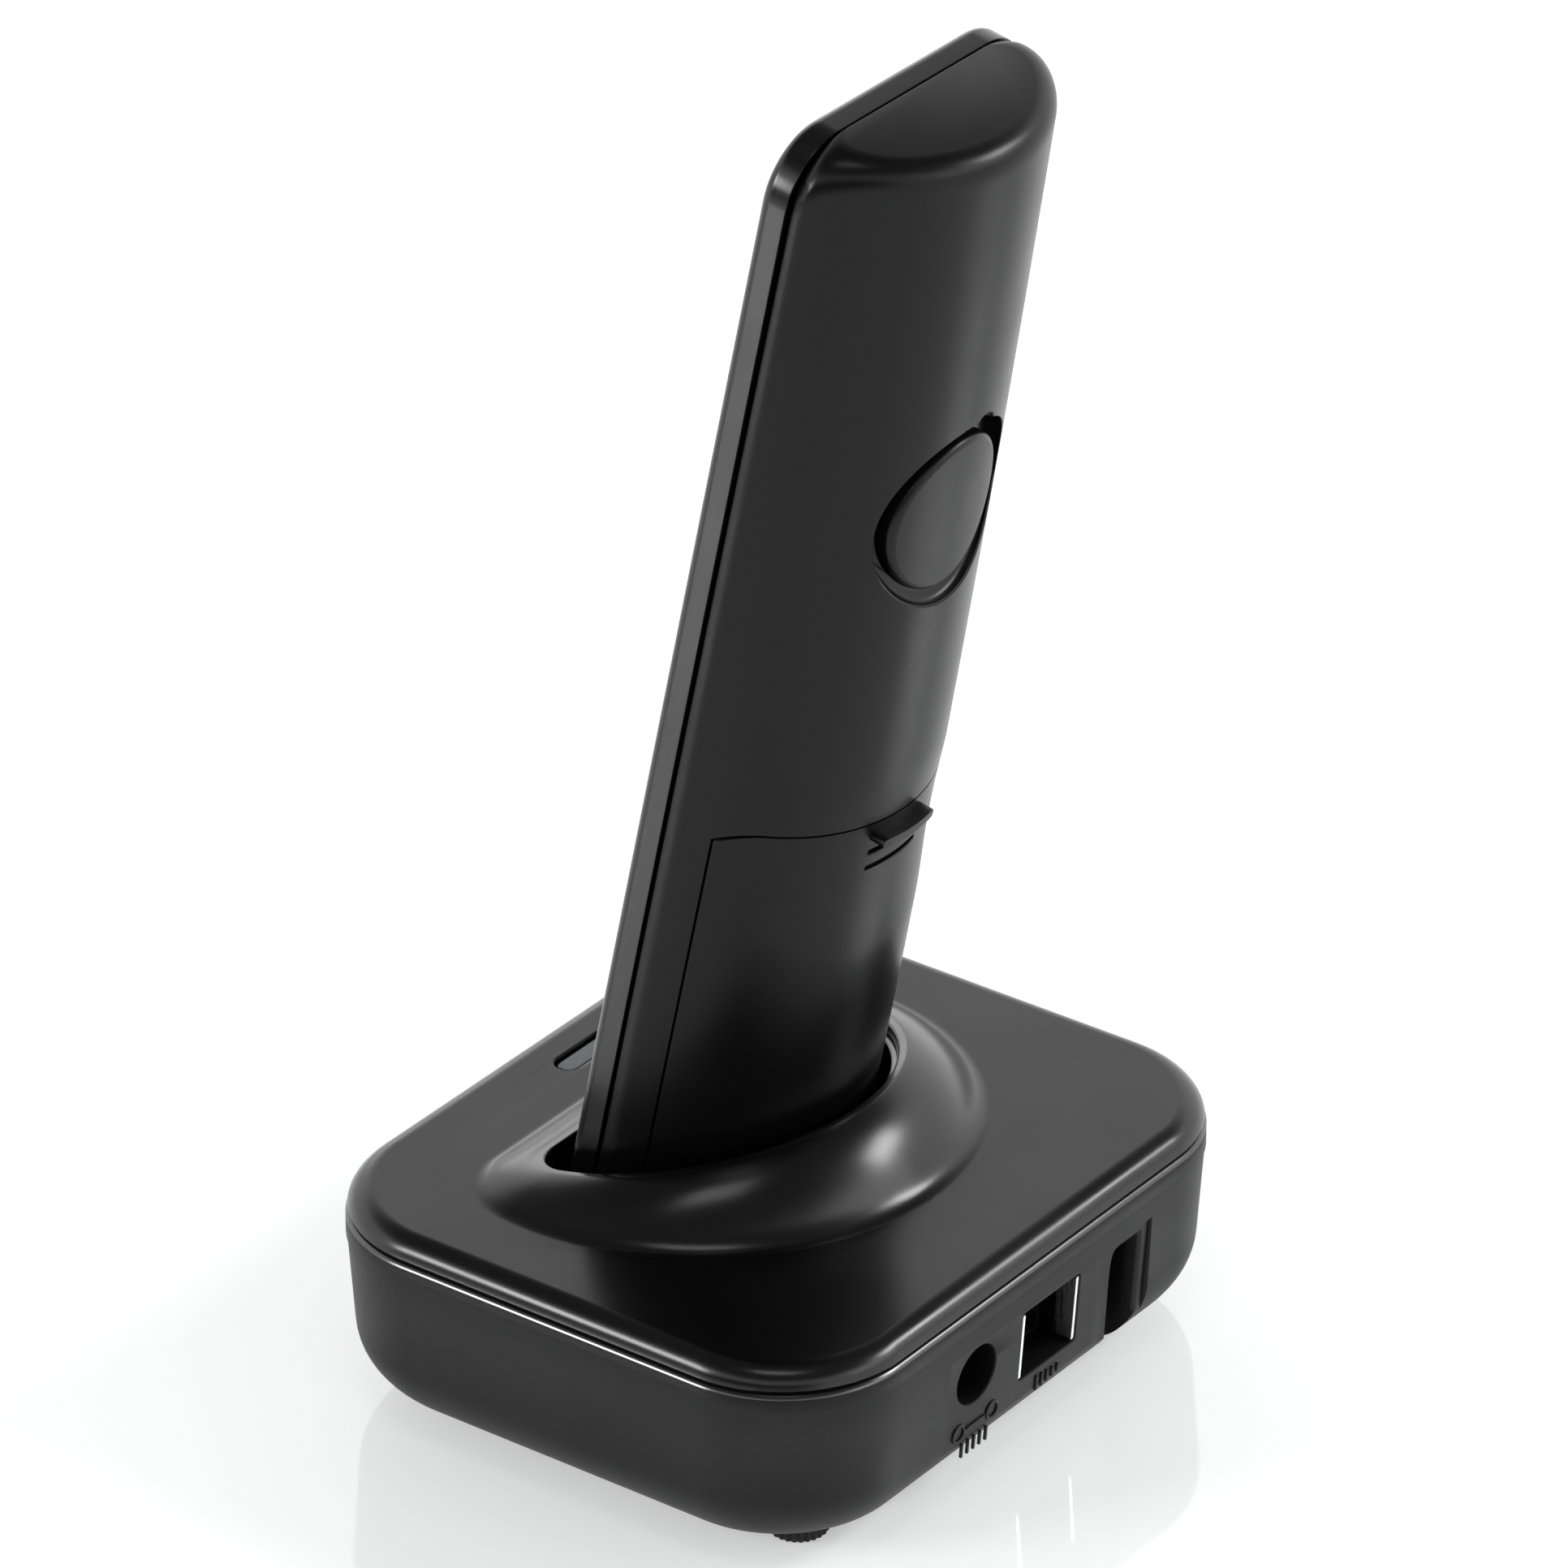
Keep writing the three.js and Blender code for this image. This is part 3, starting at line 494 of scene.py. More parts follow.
def base_lower():
    top = SEAM - GAP / 2
    rings = lower_rings(0.0, 0.0, top - RIM_DROP, ledge=0.14)
    shell = [case_ring(i, z) for i, z in rings]
    for inset, drop in RIM_PROFILE:
        shell.append(case_ring(inset, top - drop))
    obj = thing("base_lower", lofted(shell), CASE)
    source = twin(obj)
    inner = []
    for inset, z in lower_rings(WALL, WALL, SEAM + 1, steps=8):
        front, rear_wall = -(BASE_Y - inset), JACK_FACE + GAP
        half_y = (rear_wall - front) / 2 - 0.4
        corner = BASE_CORNER - inset * CORNER_SHRINK
        points = rounded(BASE_X - inset, half_y, corner, 8, 0, front + half_y)
        inner.append([(x, y, z) for x, y in points])
    carve(obj, [thing("tool", lofted(inner), CASE)])
    slot_back = PANEL_BOTTOM_Y - SLOT_DEPTH - WALL
    housing = block(SLOT_X0 - WALL, SLOT_X1 + WALL, slot_back, 35.5, 1.1, SLOT_TOP + WALL, CASE)
    carve(obj, [housing], "UNION")
    sockets = [socket_tool(outline, 30.0) for outline in (port_outline, power_outline)]
    carve(obj, [panel_tool(), *sockets, slot_tool()])
    for sx in (-1, 1):
        for sy in (-1, 1):
            carve(obj, [round_tool(sx * FOOT_X, sy * FOOT_Y, FOOT_RADIUS + GAP, 0, FOOT_RECESS),
                        round_tool(sx * SCREW_X, sy * SCREW_Y, 2.4, 0, 1.3),
                        round_tool(sx * SCREW_X, sy * SCREW_Y, 1.1, 0.5, 4.0, 0.02, 20)])
    return obj, source


# ---- handset back
def arch_circle(z, inset=0.0):
    """Radius and centre height of the arch over the split plane at height z."""
    half = HALF_WIDTH - inset
    height = ARCH_CROWN - ARCH_SLOPE * z - ARCH_CURVE * z * z - inset
    radius = (half * half + height * height) / (2 * height)
    return radius, height - radius


def dimple(x, z):
    """Depth of the shallow finger dimple around the door's grips."""
    reach = 1 - (x / 21.0) ** 2 - ((z - 50.0) / 14.5) ** 2
    return 0.65 * max(reach, 0.0) ** 1.4


def back_surface(x, z):
    radius, centre = arch_circle(z)
    return centre + math.sqrt(radius * radius - x * x) - dimple(x, z)


def end_pull(z, radius):
    near = min(z - BOTTOM, HEAD - z)
    if near >= radius:
        return 0.0
    return radius - math.sqrt(max(radius ** 2 - (radius - max(near, 0)) ** 2, 0))


def back_ring(z, inset, base, steps=88):
    """One slice of the back, closed along y = base, with its ends rounded off."""
    radius, centre = arch_circle(z, inset)
    height = radius + centre
    if inset == 0:
        edge = 1.85
        side = math.sqrt(radius ** 2 - (edge - centre) ** 2)
        half_turn = math.asin((edge - centre) / radius)
        curve = arc(0, centre, radius, half_turn, math.pi - half_turn, steps)
        band = [(side - 0.12, base), (side, base + 0.1)]
        band += [(side + 0.03, base + 0.22), (side + 0.03, edge - 0.12)]
        points = band + curve[1:-1] + [(-x, y) for x, y in reversed(band)]
    else:
        half_turn = math.asin((base - centre) / radius)
        points = arc(0, centre, radius, half_turn, math.pi - half_turn, steps)
    ring = []
    for x, y in points:
        sink = dimple(x, z) if inset == 0 else 0.0
        if sink:
            x -= x / radius * sink
            y -= (y - centre) / radius * sink
        lean = 1 - (y - base) / (height - base)
        fillet = END_FILLET + (CORNER - END_FILLET) * lean ** 4
        keep = 1 - end_pull(z, fillet) / math.hypot(x, y - base)
        ring.append((x * keep, base + (y - base) * keep, z))
    return ring


def flipped(rings):
    return [list(reversed(r)) for r in rings]


def back_levels():
    ends = [0, 0.08, 0.25, 0.5, 0.85, 1.3, 1.8, 2.4, 3.1, 3.9, 4.8, 5.8, 7.0, 8.5, 10.5]
    low = [BOTTOM + e for e in ends]
    high = [HEAD - e for e in reversed(ends)]
    middle = [2, 7, 12, 17, 22, 27, 31] + [34 + 1.25 * i for i in range(26)]
    return low + middle + [70 + 6.5 * i for i in range(12)] + high


def back_solid(inset, base, levels=None, steps=88):
    rings = [back_ring(z, inset, base, steps) for z in (levels or back_levels())]
    return thing("back", lofted(flipped(rings)), HAND)


def door_zone(grow, floor=DOOR_SEAM):
    """The prism that the battery door takes out of the back, down to the seam plane."""
    middle, half = (DOOR_TOP + DOOR_BOTTOM) / 2, (DOOR_TOP - DOOR_BOTTOM) / 2
    outline = rounded(DOOR_HALF + grow, half + grow, DOOR_CORNER, 10, 0, middle)
    rings = [[(x, y, z) for x, z in outline] for y in (floor - grow, 30.0)]
    return thing("tool", lofted(flipped(rings)), HAND)


def clip_edge(turn):
    """How much narrower the clip recess is at its floor: eased on its lower side only."""
    angle = math.degrees(turn) % 360
    if angle < 186 or angle > 352:
        return 0.0
    return 1.75 * min(1.0, (angle - 186) / 3.0, (352 - angle) / 30.0)


def clip_tool():
    turns = [2 * math.pi * i / 120 for i in range(120)]

    def ring(grow, depth, narrow=0.0):
        row = []
        for t in turns:
            r = CLIP_RADIUS + grow - narrow * clip_edge(t)
            x, z = r * math.cos(t), CLIP_Z + r * math.sin(t)
            row.append((x, back_surface(x, z) - depth, z))
        return row

    rings = [ring(-6, CLIP_DEPTH), ring(-3.2, CLIP_DEPTH), ring(0, CLIP_DEPTH, 1.0)]
    for sine, cosine in quarter(8):
        rings.append(ring(0, 0.25 + 1.45 * cosine, 1 - 0.92 * sine))
    rings += [ring(0.03, 0.13), ring(0.14, 0.03), ring(0.3, -0.02), ring(0.3, -3)]
    return thing("tool", lofted(flipped(rings)), HAND)


def notch_tool():
    centre_x, centre_z = -2.6, CLIP_Z + 11.0

    def ring(radius, depth):
        return [(x, back_surface(x, z) - depth, z)
                for x, z, _ in turned(radius, 0, centre_x, centre_z)]

    rings = [ring(1.0, 1.1), ring(1.6, 0.95), ring(2.05, 0.65), ring(2.3, 0.3), ring(2.4, 0.1),
             ring(2.55, -0.02), ring(2.55, -3)]
    return thing("tool", lofted(flipped(rings)), HAND)


def door_levels():
    """Heights of the slices under the door, from beyond the handset's end."""
    near = [BOTTOM + e for e in (0, 0.25, 0.85, 1.8, 3.1, 4.8, 6.5, 8.6)]
    return [-30] + near + [0, 10, 20, 30, 40, 50, 60, 80]


def handset_rear():
    obj = back_solid(0, 0.22)
    source = twin(obj)
    ledge = DOOR_THICK + GAP + 1.3
    levels = [BOTTOM + WALL, -6, 0, 20, 50, 90, 125, 145, 149, HEAD - WALL]
    carve(obj, [back_solid(ledge, -1, levels, 40)])
    zone = door_zone(GAP)
    carve(zone, [back_solid(DOOR_THICK + GAP, -1, door_levels(), 60)])
    carve(obj, [zone, clip_tool(), notch_tool()])
    for side in (-1, 1):
        x = side * CONTACT_X
        carve(obj, [block(x - 2.3, x + 2.3, 2.7, 7.3, BOTTOM - 1, BOTTOM + WALL + 2, HAND)])
    carve(obj, [block(-13.4, 13.4, 3, 30, 1, 55.4, HAND)])
    return obj, source


def grip_tool(middle):
    """One of the door's grip slots, which follows the arch from end to end."""
    half_length, depth, flare = 5.2, 0.75, 0.14
    ends = [(1, 0.35), (0.985, 0.7), (0.94, 0.9)]
    stations = [(-s, k) for s, k in ends] + [(i / 10, 1) for i in range(-8, 9, 2)] + ends[::-1]
    rings = []
    for share, keep in stations:
        x, half = share * half_length, 0.45 * keep
        top = back_surface(x, middle)
        side = [(-depth, half), (-flare, half), (0.02, half + flare), (2, half + flare)]
        ring = [(x, top + y, middle + across) for y, across in side]
        rings.append([(x, top - depth, middle - half)] + ring
                     + [(x, top + y, middle - across) for y, across in reversed(side[1:])])
    return thing("tool", lofted(flipped(rings)), HAND)


def battery_door(source):
    obj = door_zone(0)
    whole = twin(source)
    bpy.context.scene.collection.objects.link(whole)
    carve(obj, [whole], "INTERSECT")
    carve(obj, [back_solid(DOOR_THICK, -1, door_levels(), 60)] + [grip_tool(z) for z in GRIP_ROWS])
    return obj


def clip_disc():
    """The round plug that closes the belt clip's socket, crowned a little less than the back."""
    def ring(radius, depth):
        return [(x, back_surface(x, z) - depth + 0.6 * (x / DISC_RADIUS) ** 2, z)
                for x, z, _ in turned(radius, 0, 0, CLIP_Z - 0.4, 120)]

    full = DISC_RADIUS
    rings = [ring(3, CLIP_DEPTH + 0.3), ring(full, CLIP_DEPTH + 0.3)]
    for sine, cosine in quarter(10):
        rings.append(ring(full - 0.9 * (1 - cosine), 0.78 + 0.8 * (1 - sine)))
    rings += [ring(full - 2.4, 0.74), ring(6, 0.72), ring(3, 0.7), ring(0.8, 0.7)]
    return thing("clip_disc", lofted(flipped(rings)), HAND)


# ---- handset front
FRONT = HAND @ Matrix.Rotation(math.pi / 2, 4, "X")
MIDDLE, HALF_LENGTH = (BOTTOM + HEAD) / 2, (HEAD - BOTTOM) / 2
FRONT_WALL = 1.4
WINDOW_MIDDLE, WINDOW_HALF, WINDOW_HALF_HEIGHT, WINDOW_CORNER = 112.0, 17.5, 19.0, 2.5
KEY_PROUD, KEY_THICK, LEGEND_SIZE = 0.8, 1.5, 4.6
DIGITS = ["1", "2", "3", "4", "5", "6", "7", "8", "9", "star", "0", "hash"]
KEYS = {f"key_{label}": (-14.0 + 14.0 * (i % 3), 51.0 - 10.5 * (i // 3), 5.6, 3.7, 1.8)
        for i, label in enumerate(DIGITS)}
KEYS["soft_key_left"] = (-15.0, 82.5, 4.6, 2.8, 1.6)
KEYS["soft_key_right"] = (15.0, 82.5, 4.6, 2.8, 1.6)
KEYS["talk_key"] = (-15.0, 66.0, 4.6, 4.6, 2.0)
KEYS["end_key"] = (15.0, 66.0, 4.6, 4.6, 2.0)
KEYS["navigation_key"] = (0.0, 74.0, 8.0, 8.0, 7.9)


plate_ring = slab(HALF_WIDTH, HALF_LENGTH, CORNER, 14, 0, MIDDLE)


def hole_rows(outline):
    """Rings of a hole in the front, from its eased edge to the inside."""
    face = FRONT_DEPTH
    return [[(x, v, w) for x, v in outline(grow)] for grow, w in
            [(0.2, face), (0.06, face - 0.06), (0.0, face - 0.2), (0.0, face - FRONT_WALL)]]


def key_outline(x, v, half_x, half_v, corner, grow, steps=8):
    return rounded(half_x + grow, half_v + grow, corner + grow, steps, x, v)


def front_shell():
    skin = Skin()
    wall = FRONT_WALL + 0.4
    rows = [plate_ring(wall, FRONT_DEPTH - FRONT_WALL), plate_ring(wall, SPLIT)]
    for inset, lift in ((0.12, 0), (0.04, 0.03), (0, 0.12)):
        rows.append(plate_ring(inset, SPLIT + lift))
    for sine, cosine in quarter(8):
        lift = FRONT_DEPTH - FRONT_FILLET * (1 - sine)
        rows.append(plate_ring(FRONT_FILLET * (1 - cosine), lift))
    sides = skin.stack(rows)
    outer, inner = [sides[-1]], [sides[0]]
    outlines = [lambda g, k=k: key_outline(*k, g + GAP) for k in KEYS.values()]
    window = (0, WINDOW_MIDDLE, WINDOW_HALF, WINDOW_HALF_HEIGHT, WINDOW_CORNER)
    outlines.append(lambda g: key_outline(*window, g + GAP))
    for x in (-5, 0, 5):
        outlines.append(lambda g, x=x: rounded(1.9 + g, 0.7 + g, 0.68 + g, 8, x, 143))
    outlines.append(lambda g: rounded(0.7 + g, 0.7 + g, 0.69 + g, 6, 0, 8))
    for outline in outlines:
        hole = skin.stack(hole_rows(outline))
        outer.append(hole[0])
        inner.append(hole[-1])
    skin.fill(outer)
    skin.fill(inner, up=False)
    return thing("handset_front", skin, FRONT)


def key_cap(name):
    x, v, half_x, half_v, corner = KEYS[name]
    top = FRONT_DEPTH + KEY_PROUD
    ring = slab(half_x, half_v, corner, 22 if name == "navigation_key" else 8, x, v)
    profile = [(0, 0.42), (0.07, 0.25), (0.22, 0.12), (0.5, 0.05), (1.1, 0)]
    if name == "navigation_key":
        profile += [(2.6, 0), (4.3, 0.03), (4.6, 0.16), (4.9, 0.4), (6.5, 0.48)]
    rows = [ring(0, FRONT_DEPTH - KEY_THICK)] + [ring(inset, top - drop) for inset, drop in profile]
    return thing(name + "_cap", lofted(rows), FRONT)


def legend(name, text, x, v):
    """A printed character, as a thin raised shape."""
    curve = bpy.data.curves.new(name, "FONT")
    curve.body = text
    curve.size = LEGEND_SIZE * MM
    curve.align_x = curve.align_y = "CENTER"
    curve.extrude = 0.012 * MM
    curve.resolution_u = 4
    holder = placed(name + "_text", curve)
    data = baked(holder)
    bpy.data.objects.remove(holder)
    spot = Matrix.Translation((x, v, FRONT_DEPTH + KEY_PROUD + 0.01))
    data.transform(Matrix.Scale(MM, 4) @ FRONT @ spot @ Matrix.Scale(1 / MM, 4))
    return placed(name, data)


def window_glass():
    ring = slab(WINDOW_HALF, WINDOW_HALF_HEIGHT, WINDOW_CORNER, 8, 0, WINDOW_MIDDLE)
    face = FRONT_DEPTH - 0.1
    profile = ((0, 1.1), (0, 0.25), (0.08, 0.08), (0.3, 0))
    rows = [ring(inset, face - drop) for inset, drop in profile]
    return thing("window_glass", lofted(rows), FRONT)


def cradle_cup():
    """The pocket's liner: its rim follows the mouth's plane."""
    inverse = HAND.inverted() @ CASE

    def ring(grow, z=None, lower=0.0):
        points = [inverse @ p for p in rim_ring(grow)]
        return [(p.x, p.y, z if z is not None else p.z - lower) for p in points]

    outer, inner = -GAP, -GAP - CUP_WALL
    rim = [(outer, 1.9), (outer - 0.12, 1.68), (outer - 0.35, 1.6), (inner + 0.35, 1.6),
           (inner + 0.12, 1.68), (inner, 1.95)]
    deep = [(inner, 1.2), (inner - 0.3, 0.4), (inner - 1.2, 0)]
    skin = Skin()
    rows = skin.stack([ring(outer, CUP_FLOOR - CUP_THICK)]
                      + [ring(grow, lower=lower) for grow, lower in rim]
                      + [ring(grow, CUP_FLOOR + lift) for grow, lift in deep])
    floors, unders = [rows[-1]], [rows[0]]
    for side in (-1, 1):
        outline = rounded(2.0, 3.0, 0.5, 4, side * CONTACT_X, 5.0)
        levels = (CUP_FLOOR, CUP_FLOOR - CUP_THICK)
        slot = skin.stack([[(x, y, z) for x, y in outline] for z in levels])
        floors.append(slot[0])
        unders.append(slot[1])
    skin.fill(floors)
    skin.fill(unders, up=False)
    return thing("cradle_liner", skin, HAND)


def page_cap():
    top = TOP - PAGE_SUNK
    profile = ((0, WALL), (0, 0.35), (0.08, 0.15), (0.25, 0.04), (0.6, 0))
    rows = [page_ring(inset, top - drop) for inset, drop in profile]
    return thing("page_cap", lofted(rows), CASE)


def rubber_pad(sx, sy):
    """A foot with a ribbed side."""
    ribs, sides = 26, 208

    def ring(inset, z, rib):
        row = []
        for a in (2 * math.pi * i / sides for i in range(sides)):
            radius = FOOT_RADIUS - inset - rib * (0.5 - 0.5 * math.cos(a * ribs))
            row.append((sx * FOOT_X + radius * math.cos(a), sy * FOOT_Y + radius * math.sin(a), z))
        return row

    low = -FOOT_PROUD
    stations = [(0.9, low, 0.1), (0.45, low + 0.12, 0.25), (0.2, low + 0.4, 0.35),
                (0.2, -0.35, 0.35), (0, -0.2, 0.0), (0, FOOT_RECESS - GAP, 0.0)]
    return thing("tool", lofted([ring(*station) for station in stations]), CASE)


# ---- sockets
def lathe(profile, centre_x, centre_z, sides=56):
    """A turned piece along Y: profile holds (radius, y) from its inner end round to its start."""
    skin = Skin()
    rows = skin.stack([[(x, y, z) for x, z, _ in turned(radius, 0, centre_x, centre_z, sides)]
                       for radius, y in profile])
    skin.cap(rows[0])
    skin.cap(rows[-1], flip=True)
    return skin


def power_sleeve():
    """The adapter socket's barrel: a closed tube with a stepped and eased mouth."""
    back, floor, face = JACK_FACE - 10.0, JACK_FACE - 8.5, JACK_FACE
    profile = [(0.3, floor), (3.0, floor), (3.1, face - 2.4), (3.35, face - 2.2), (3.5, face - 0.4),
               (3.7, face - 0.1), (4.0, face), (4.7, face), (4.95, face - 0.25), (4.95, back),
               (0.3, back)]
    return thing("power_barrel", lathe(profile, POWER_X, POWER_Z), CASE)


def power_pin():
    tip, root = JACK_FACE - 1.7, JACK_FACE - 8.2
    profile = [(0.15, root), (1.0, root), (1.0, tip - 0.5), (0.85, tip - 0.2), (0.5, tip),
               (0.1, tip)]
    return thing("power_centre_pin", lathe(profile, POWER_X, POWER_Z, 28), CASE)


def bent_strip(path, half_width, thick, x):
    """A flat spring that follows a path in y and z."""
    rings = []
    for i, (y, z) in enumerate(path):
        before, after = path[max(i - 1, 0)], path[min(i + 1, len(path) - 1)]
        run = Vector((after[0] - before[0], after[1] - before[1])).normalized()
        ny, nz = -run.y * thick / 2, run.x * thick / 2
        rings.append([(x - half_width, y - ny, z - nz), (x + half_width, y - ny, z - nz),
                      (x + half_width, y + ny, z + nz), (x - half_width, y + ny, z + nz)])
    return lofted(rings)


def joined(name, skins, matrix):
    whole = Skin()
    for skin in skins:
        start = len(whole.points)
        whole.points.extend(skin.points)
        whole.faces.extend(tuple(i + start for i in face) for face in skin.faces)
    return thing(name, whole, matrix)


def box_skin(x0, x1, y0, y1, z0, z1, ease=0.15):
    """A block with eased ends and edges, lofted along y."""
    half_x, half_z = (x1 - x0) / 2, (z1 - z0) / 2
    middle_x, middle_z = (x0 + x1) / 2, (z0 + z1) / 2

    def ring(inset, y):
        points = rounded(half_x - inset, half_z - inset, ease, 3, middle_x, middle_z)
        return [(x, y, z) for x, z in points]
    return lofted([ring(ease, y0), ring(0, y0 + ease), ring(0, y1 - ease), ring(ease, y1)])


def line_comb():
    """The comb and its teeth at the top of the line socket."""
    floor = JACK_FACE - PORT_DEPTH
    top = PORT_Z1
    skins = [box_skin(PORT_X - 4.4, PORT_X + 4.4, floor + 0.5, floor + 3.4, top - 2.6, top - 0.8)]
    for x in (PORT_X - 3.3, PORT_X - 1.1, PORT_X + 1.1, PORT_X + 3.3):
        tooth = (x - 0.25, x + 0.25, floor + 3.0, floor + 4.6, top - 2.9, top - 1.0)
        skins.append(box_skin(*tooth, 0.1))
    return joined("line_comb", skins, CASE)


def line_wires():
    floor = JACK_FACE - PORT_DEPTH
    hook = [(4.2, 1.5), (5.4, 1.6), (6.0, 2.0), (6.1, 2.6), (5.6, 3.4), (4.2, 4.8), (2.6, 6.2)]
    path = [(floor + out, PORT_Z1 - down) for out, down in hook]
    wires = [bent_strip(path, 0.22, 0.28, PORT_X + x) for x in (-3.0, -1.8, -0.6, 0.6, 1.8, 3.0)]
    return joined("line_wires", wires, CASE)


def line_socket_highlight_strips():
    """Plated strips lining both sides of the line socket: painted highlights for its lit edge and
    lit inner wall.
    """
    half = PORT_WIDTH / 2
    path = [(panel_y(z) - 1.6, z) for z in (PORT_Z0 + 0.35, PORT_Z1 - 0.35)]
    strips = [bent_strip(path, 0.26, 2.8, PORT_X + side * (half - 0.31)) for side in (-1, 1)]
    return joined("line_socket_highlight_strips", strips, CASE)


def panel_marks():
    """Plain relief under the sockets: two small rings with a bar, and short upright ribs."""
    skins = []

    def bar(x, z, half_x, half_z):
        def ring(inset, depth):
            corner = max(min(half_x, half_z) - inset - 0.02, 0.02)
            points = rounded(half_x - inset, half_z - inset, corner, 3, x, z)
            return [(px, panel_y(pz) + depth, pz) for px, pz in points]
        skins.append(lofted([ring(0, -0.1), ring(0, 0.16), ring(0.06, 0.26)]))

    def loop(x, z, radius, half, sides=28):
        skin = Skin()
        side = [(half, -0.1), (half, 0.16), (half * 0.5, 0.26)]
        section = [(-half, -0.1)] + side + [(-r, d) for r, d in reversed(side[1:])]
        rows = []
        for i in range(sides):
            a = 2 * math.pi * i / sides
            points = [(x + (radius + r) * math.cos(a), z + (radius + r) * math.sin(a), d)
                      for r, d in section]
            rows.append(skin.ring([(px, panel_y(pz) + d, pz) for px, pz, d in points]))
        for i in range(sides):
            skin.bridge(rows[i], rows[(i + 1) % sides])
        skins.append(skin)

    loop(POWER_X + 3.2, 6.9, 1.15, 0.2)
    loop(POWER_X - 4.0, 6.9, 1.15, 0.2)
    bar(POWER_X - 0.4, 6.9, 2.0, 0.2)
    for i in range(5):
        bar(POWER_X - 3.0 + i * 1.3, 3.9, 0.2, 1.1)
    for i in range(5):
        bar(PORT_X + 2.2 - i * 1.15, 5.9, 0.2, 1.15 - 0.12 * i)
    return joined("panel_marks", skins, CASE)


# ---- materials
def principled(name, color, roughness, metallic=0.0, specular=0.5, coat=0.0):
    material = bpy.data.materials.new(name)
    material.use_nodes = True
    values = {"Base Color": (*color, 1), "Roughness": roughness, "Metallic": metallic,
              "Specular IOR Level": specular, "Coat Weight": coat}
    for socket, value in values.items():
        material.node_tree.nodes["Principled BSDF"].inputs[socket].default_value = value
    return material


def add_node(tree, kind, inputs=(), **settings):
    """Adds a shader node: settings are its properties, inputs hold values or links."""
    made = tree.nodes.new(kind)
    for key, value in settings.items():
        setattr(made, key, value)
    for key, value in dict(inputs).items():
        if isinstance(value, bpy.types.NodeSocket):
            tree.links.new(value, made.inputs[key])
        else:
            made.inputs[key].default_value = value
    return made


def to_shader(material, socket, output):
    tree = material.node_tree
    tree.links.new(output, tree.nodes["Principled BSDF"].inputs[socket])


def eased(tree, value, start, end, low=0.0, high=1.0, kind="SMOOTHSTEP"):
    """Runs smoothly from low to high while the input goes from start to end."""
    inputs = {"Value": value, "From Min": start, "From Max": end, "To Min": low, "To Max": high}
    return add_node(tree, "ShaderNodeMapRange", inputs, interpolation_type=kind).outputs["Result"]


def ramp(tree, factor, stops, kind="LINEAR"):
    """A colour ramp through stops of a position and a colour."""
    made = add_node(tree, "ShaderNodeValToRGB", {"Fac": factor})
    made.color_ramp.interpolation = kind
    tones = made.color_ramp.elements
    tones[0].position, tones[1].position = stops[0][0], stops[1][0]
    for position, _ in stops[2:]:
        tones.new(position)
    for tone, (_, color) in zip(tones, stops):
        tone.color = (*color, 1)
    return made.outputs["Color"]


def mixed(tree, factor, a, b):
    """The colour a where the factor is 0, b where it is 1."""
    inputs = {"Factor": factor, "A": a, "B": b}
    return add_node(tree, "ShaderNodeMix", inputs, data_type="RGBA").outputs["Result"]


def in_object(tree):
    return add_node(tree, "ShaderNodeTexCoord").outputs["Object"]


def noise(material, scale, stretch=None):
    """A noise texture in the object's own space, in metres."""
    tree = material.node_tree
    source = in_object(tree)
    if stretch:
        mapping = add_node(tree, "ShaderNodeMapping", {"Vector": source, "Scale": stretch})
        source = mapping.outputs["Vector"]
    inputs = {"Scale": scale, "Detail": 2.0, "Vector": source}
    return add_node(tree, "ShaderNodeTexNoise", inputs).outputs["Fac"]


def vary(material, socket, factor, low, high):
    """Drives a number or a colour between two values by a noise factor."""
    if isinstance(low, tuple):
        result = ramp(material.node_tree, factor, [(0.3, low), (0.7, high)])
    else:
        result = eased(material.node_tree, factor, 0.15, 0.85, low, high, "SMOOTHERSTEP")
    to_shader(material, socket, result)


def grain(material, factor, strength):
    inputs = {"Strength": strength, "Distance": 0.04 * MM, "Height": factor}
    bump = add_node(material.node_tree, "ShaderNodeBump", inputs)
    to_shader(material, "Normal", bump.outputs["Normal"])


def moulded(name, color, roughness, texture=0.08, scale=2600.0, specular=0.5, spread=0.04):
    """Injection-moulded plastic: fine mould grain, with slow changes of gloss and tone."""
    material = principled(name, color, roughness, specular=specular)
    vary(material, "Roughness", noise(material, 55.0), roughness - spread, roughness + spread)
    dark, light = (tuple(c * k for c in color) for k in (0.9, 1.12))
    vary(material, "Base Color", noise(material, 900.0), dark, light)
    grain(material, noise(material, scale), texture)
    return material


def brushed(name, color, roughness):
    """Plated or brushed metal with a fine drawn grain."""
    material = principled(name, color, roughness, metallic=1.0)
    lines = noise(material, 1500.0, (1.0, 1.0, 0.06))
    vary(material, "Roughness", lines, roughness - 0.07, roughness + 0.1)
    grain(material, lines, 0.12)
    return material


SATIN = moulded("satin_case", (0.0018, 0.0018, 0.0019), 0.24, 0.035, 3200.0)
SATIN_BACK = moulded("satin_back", (0.0018, 0.0018, 0.0019), 0.29, 0.05, 3000.0, specular=0.26)
RIM = moulded("polished_rim", (0.004, 0.004, 0.0042), 0.2, 0.02, 2400.0, specular=1.0)
MATT = moulded("matt_case", (0.004, 0.004, 0.0042), 0.46, 0.2, 2400.0, specular=0.27)
PLUG = moulded("plug_plastic", (0.002, 0.002, 0.0021), 0.34, 0.06, 3000.0, specular=0.3)
KEY_MATT = moulded("key_plastic", (0.028, 0.028, 0.030), 0.42, 0.08, 3000.0)
# Painted shade: a darker, duller copy of the lower casing's plastic, for the faces inside the
# sockets and the cable slot.
RECESS_SHADE = moulded("recess_painted_shade", (0.0015, 0.0015, 0.0016), 0.6, 0.2, 2400.0, specular=0.12)
DARK = moulded("dark_insert", (0.005, 0.005, 0.0052), 0.5, 0.1, 2600.0)
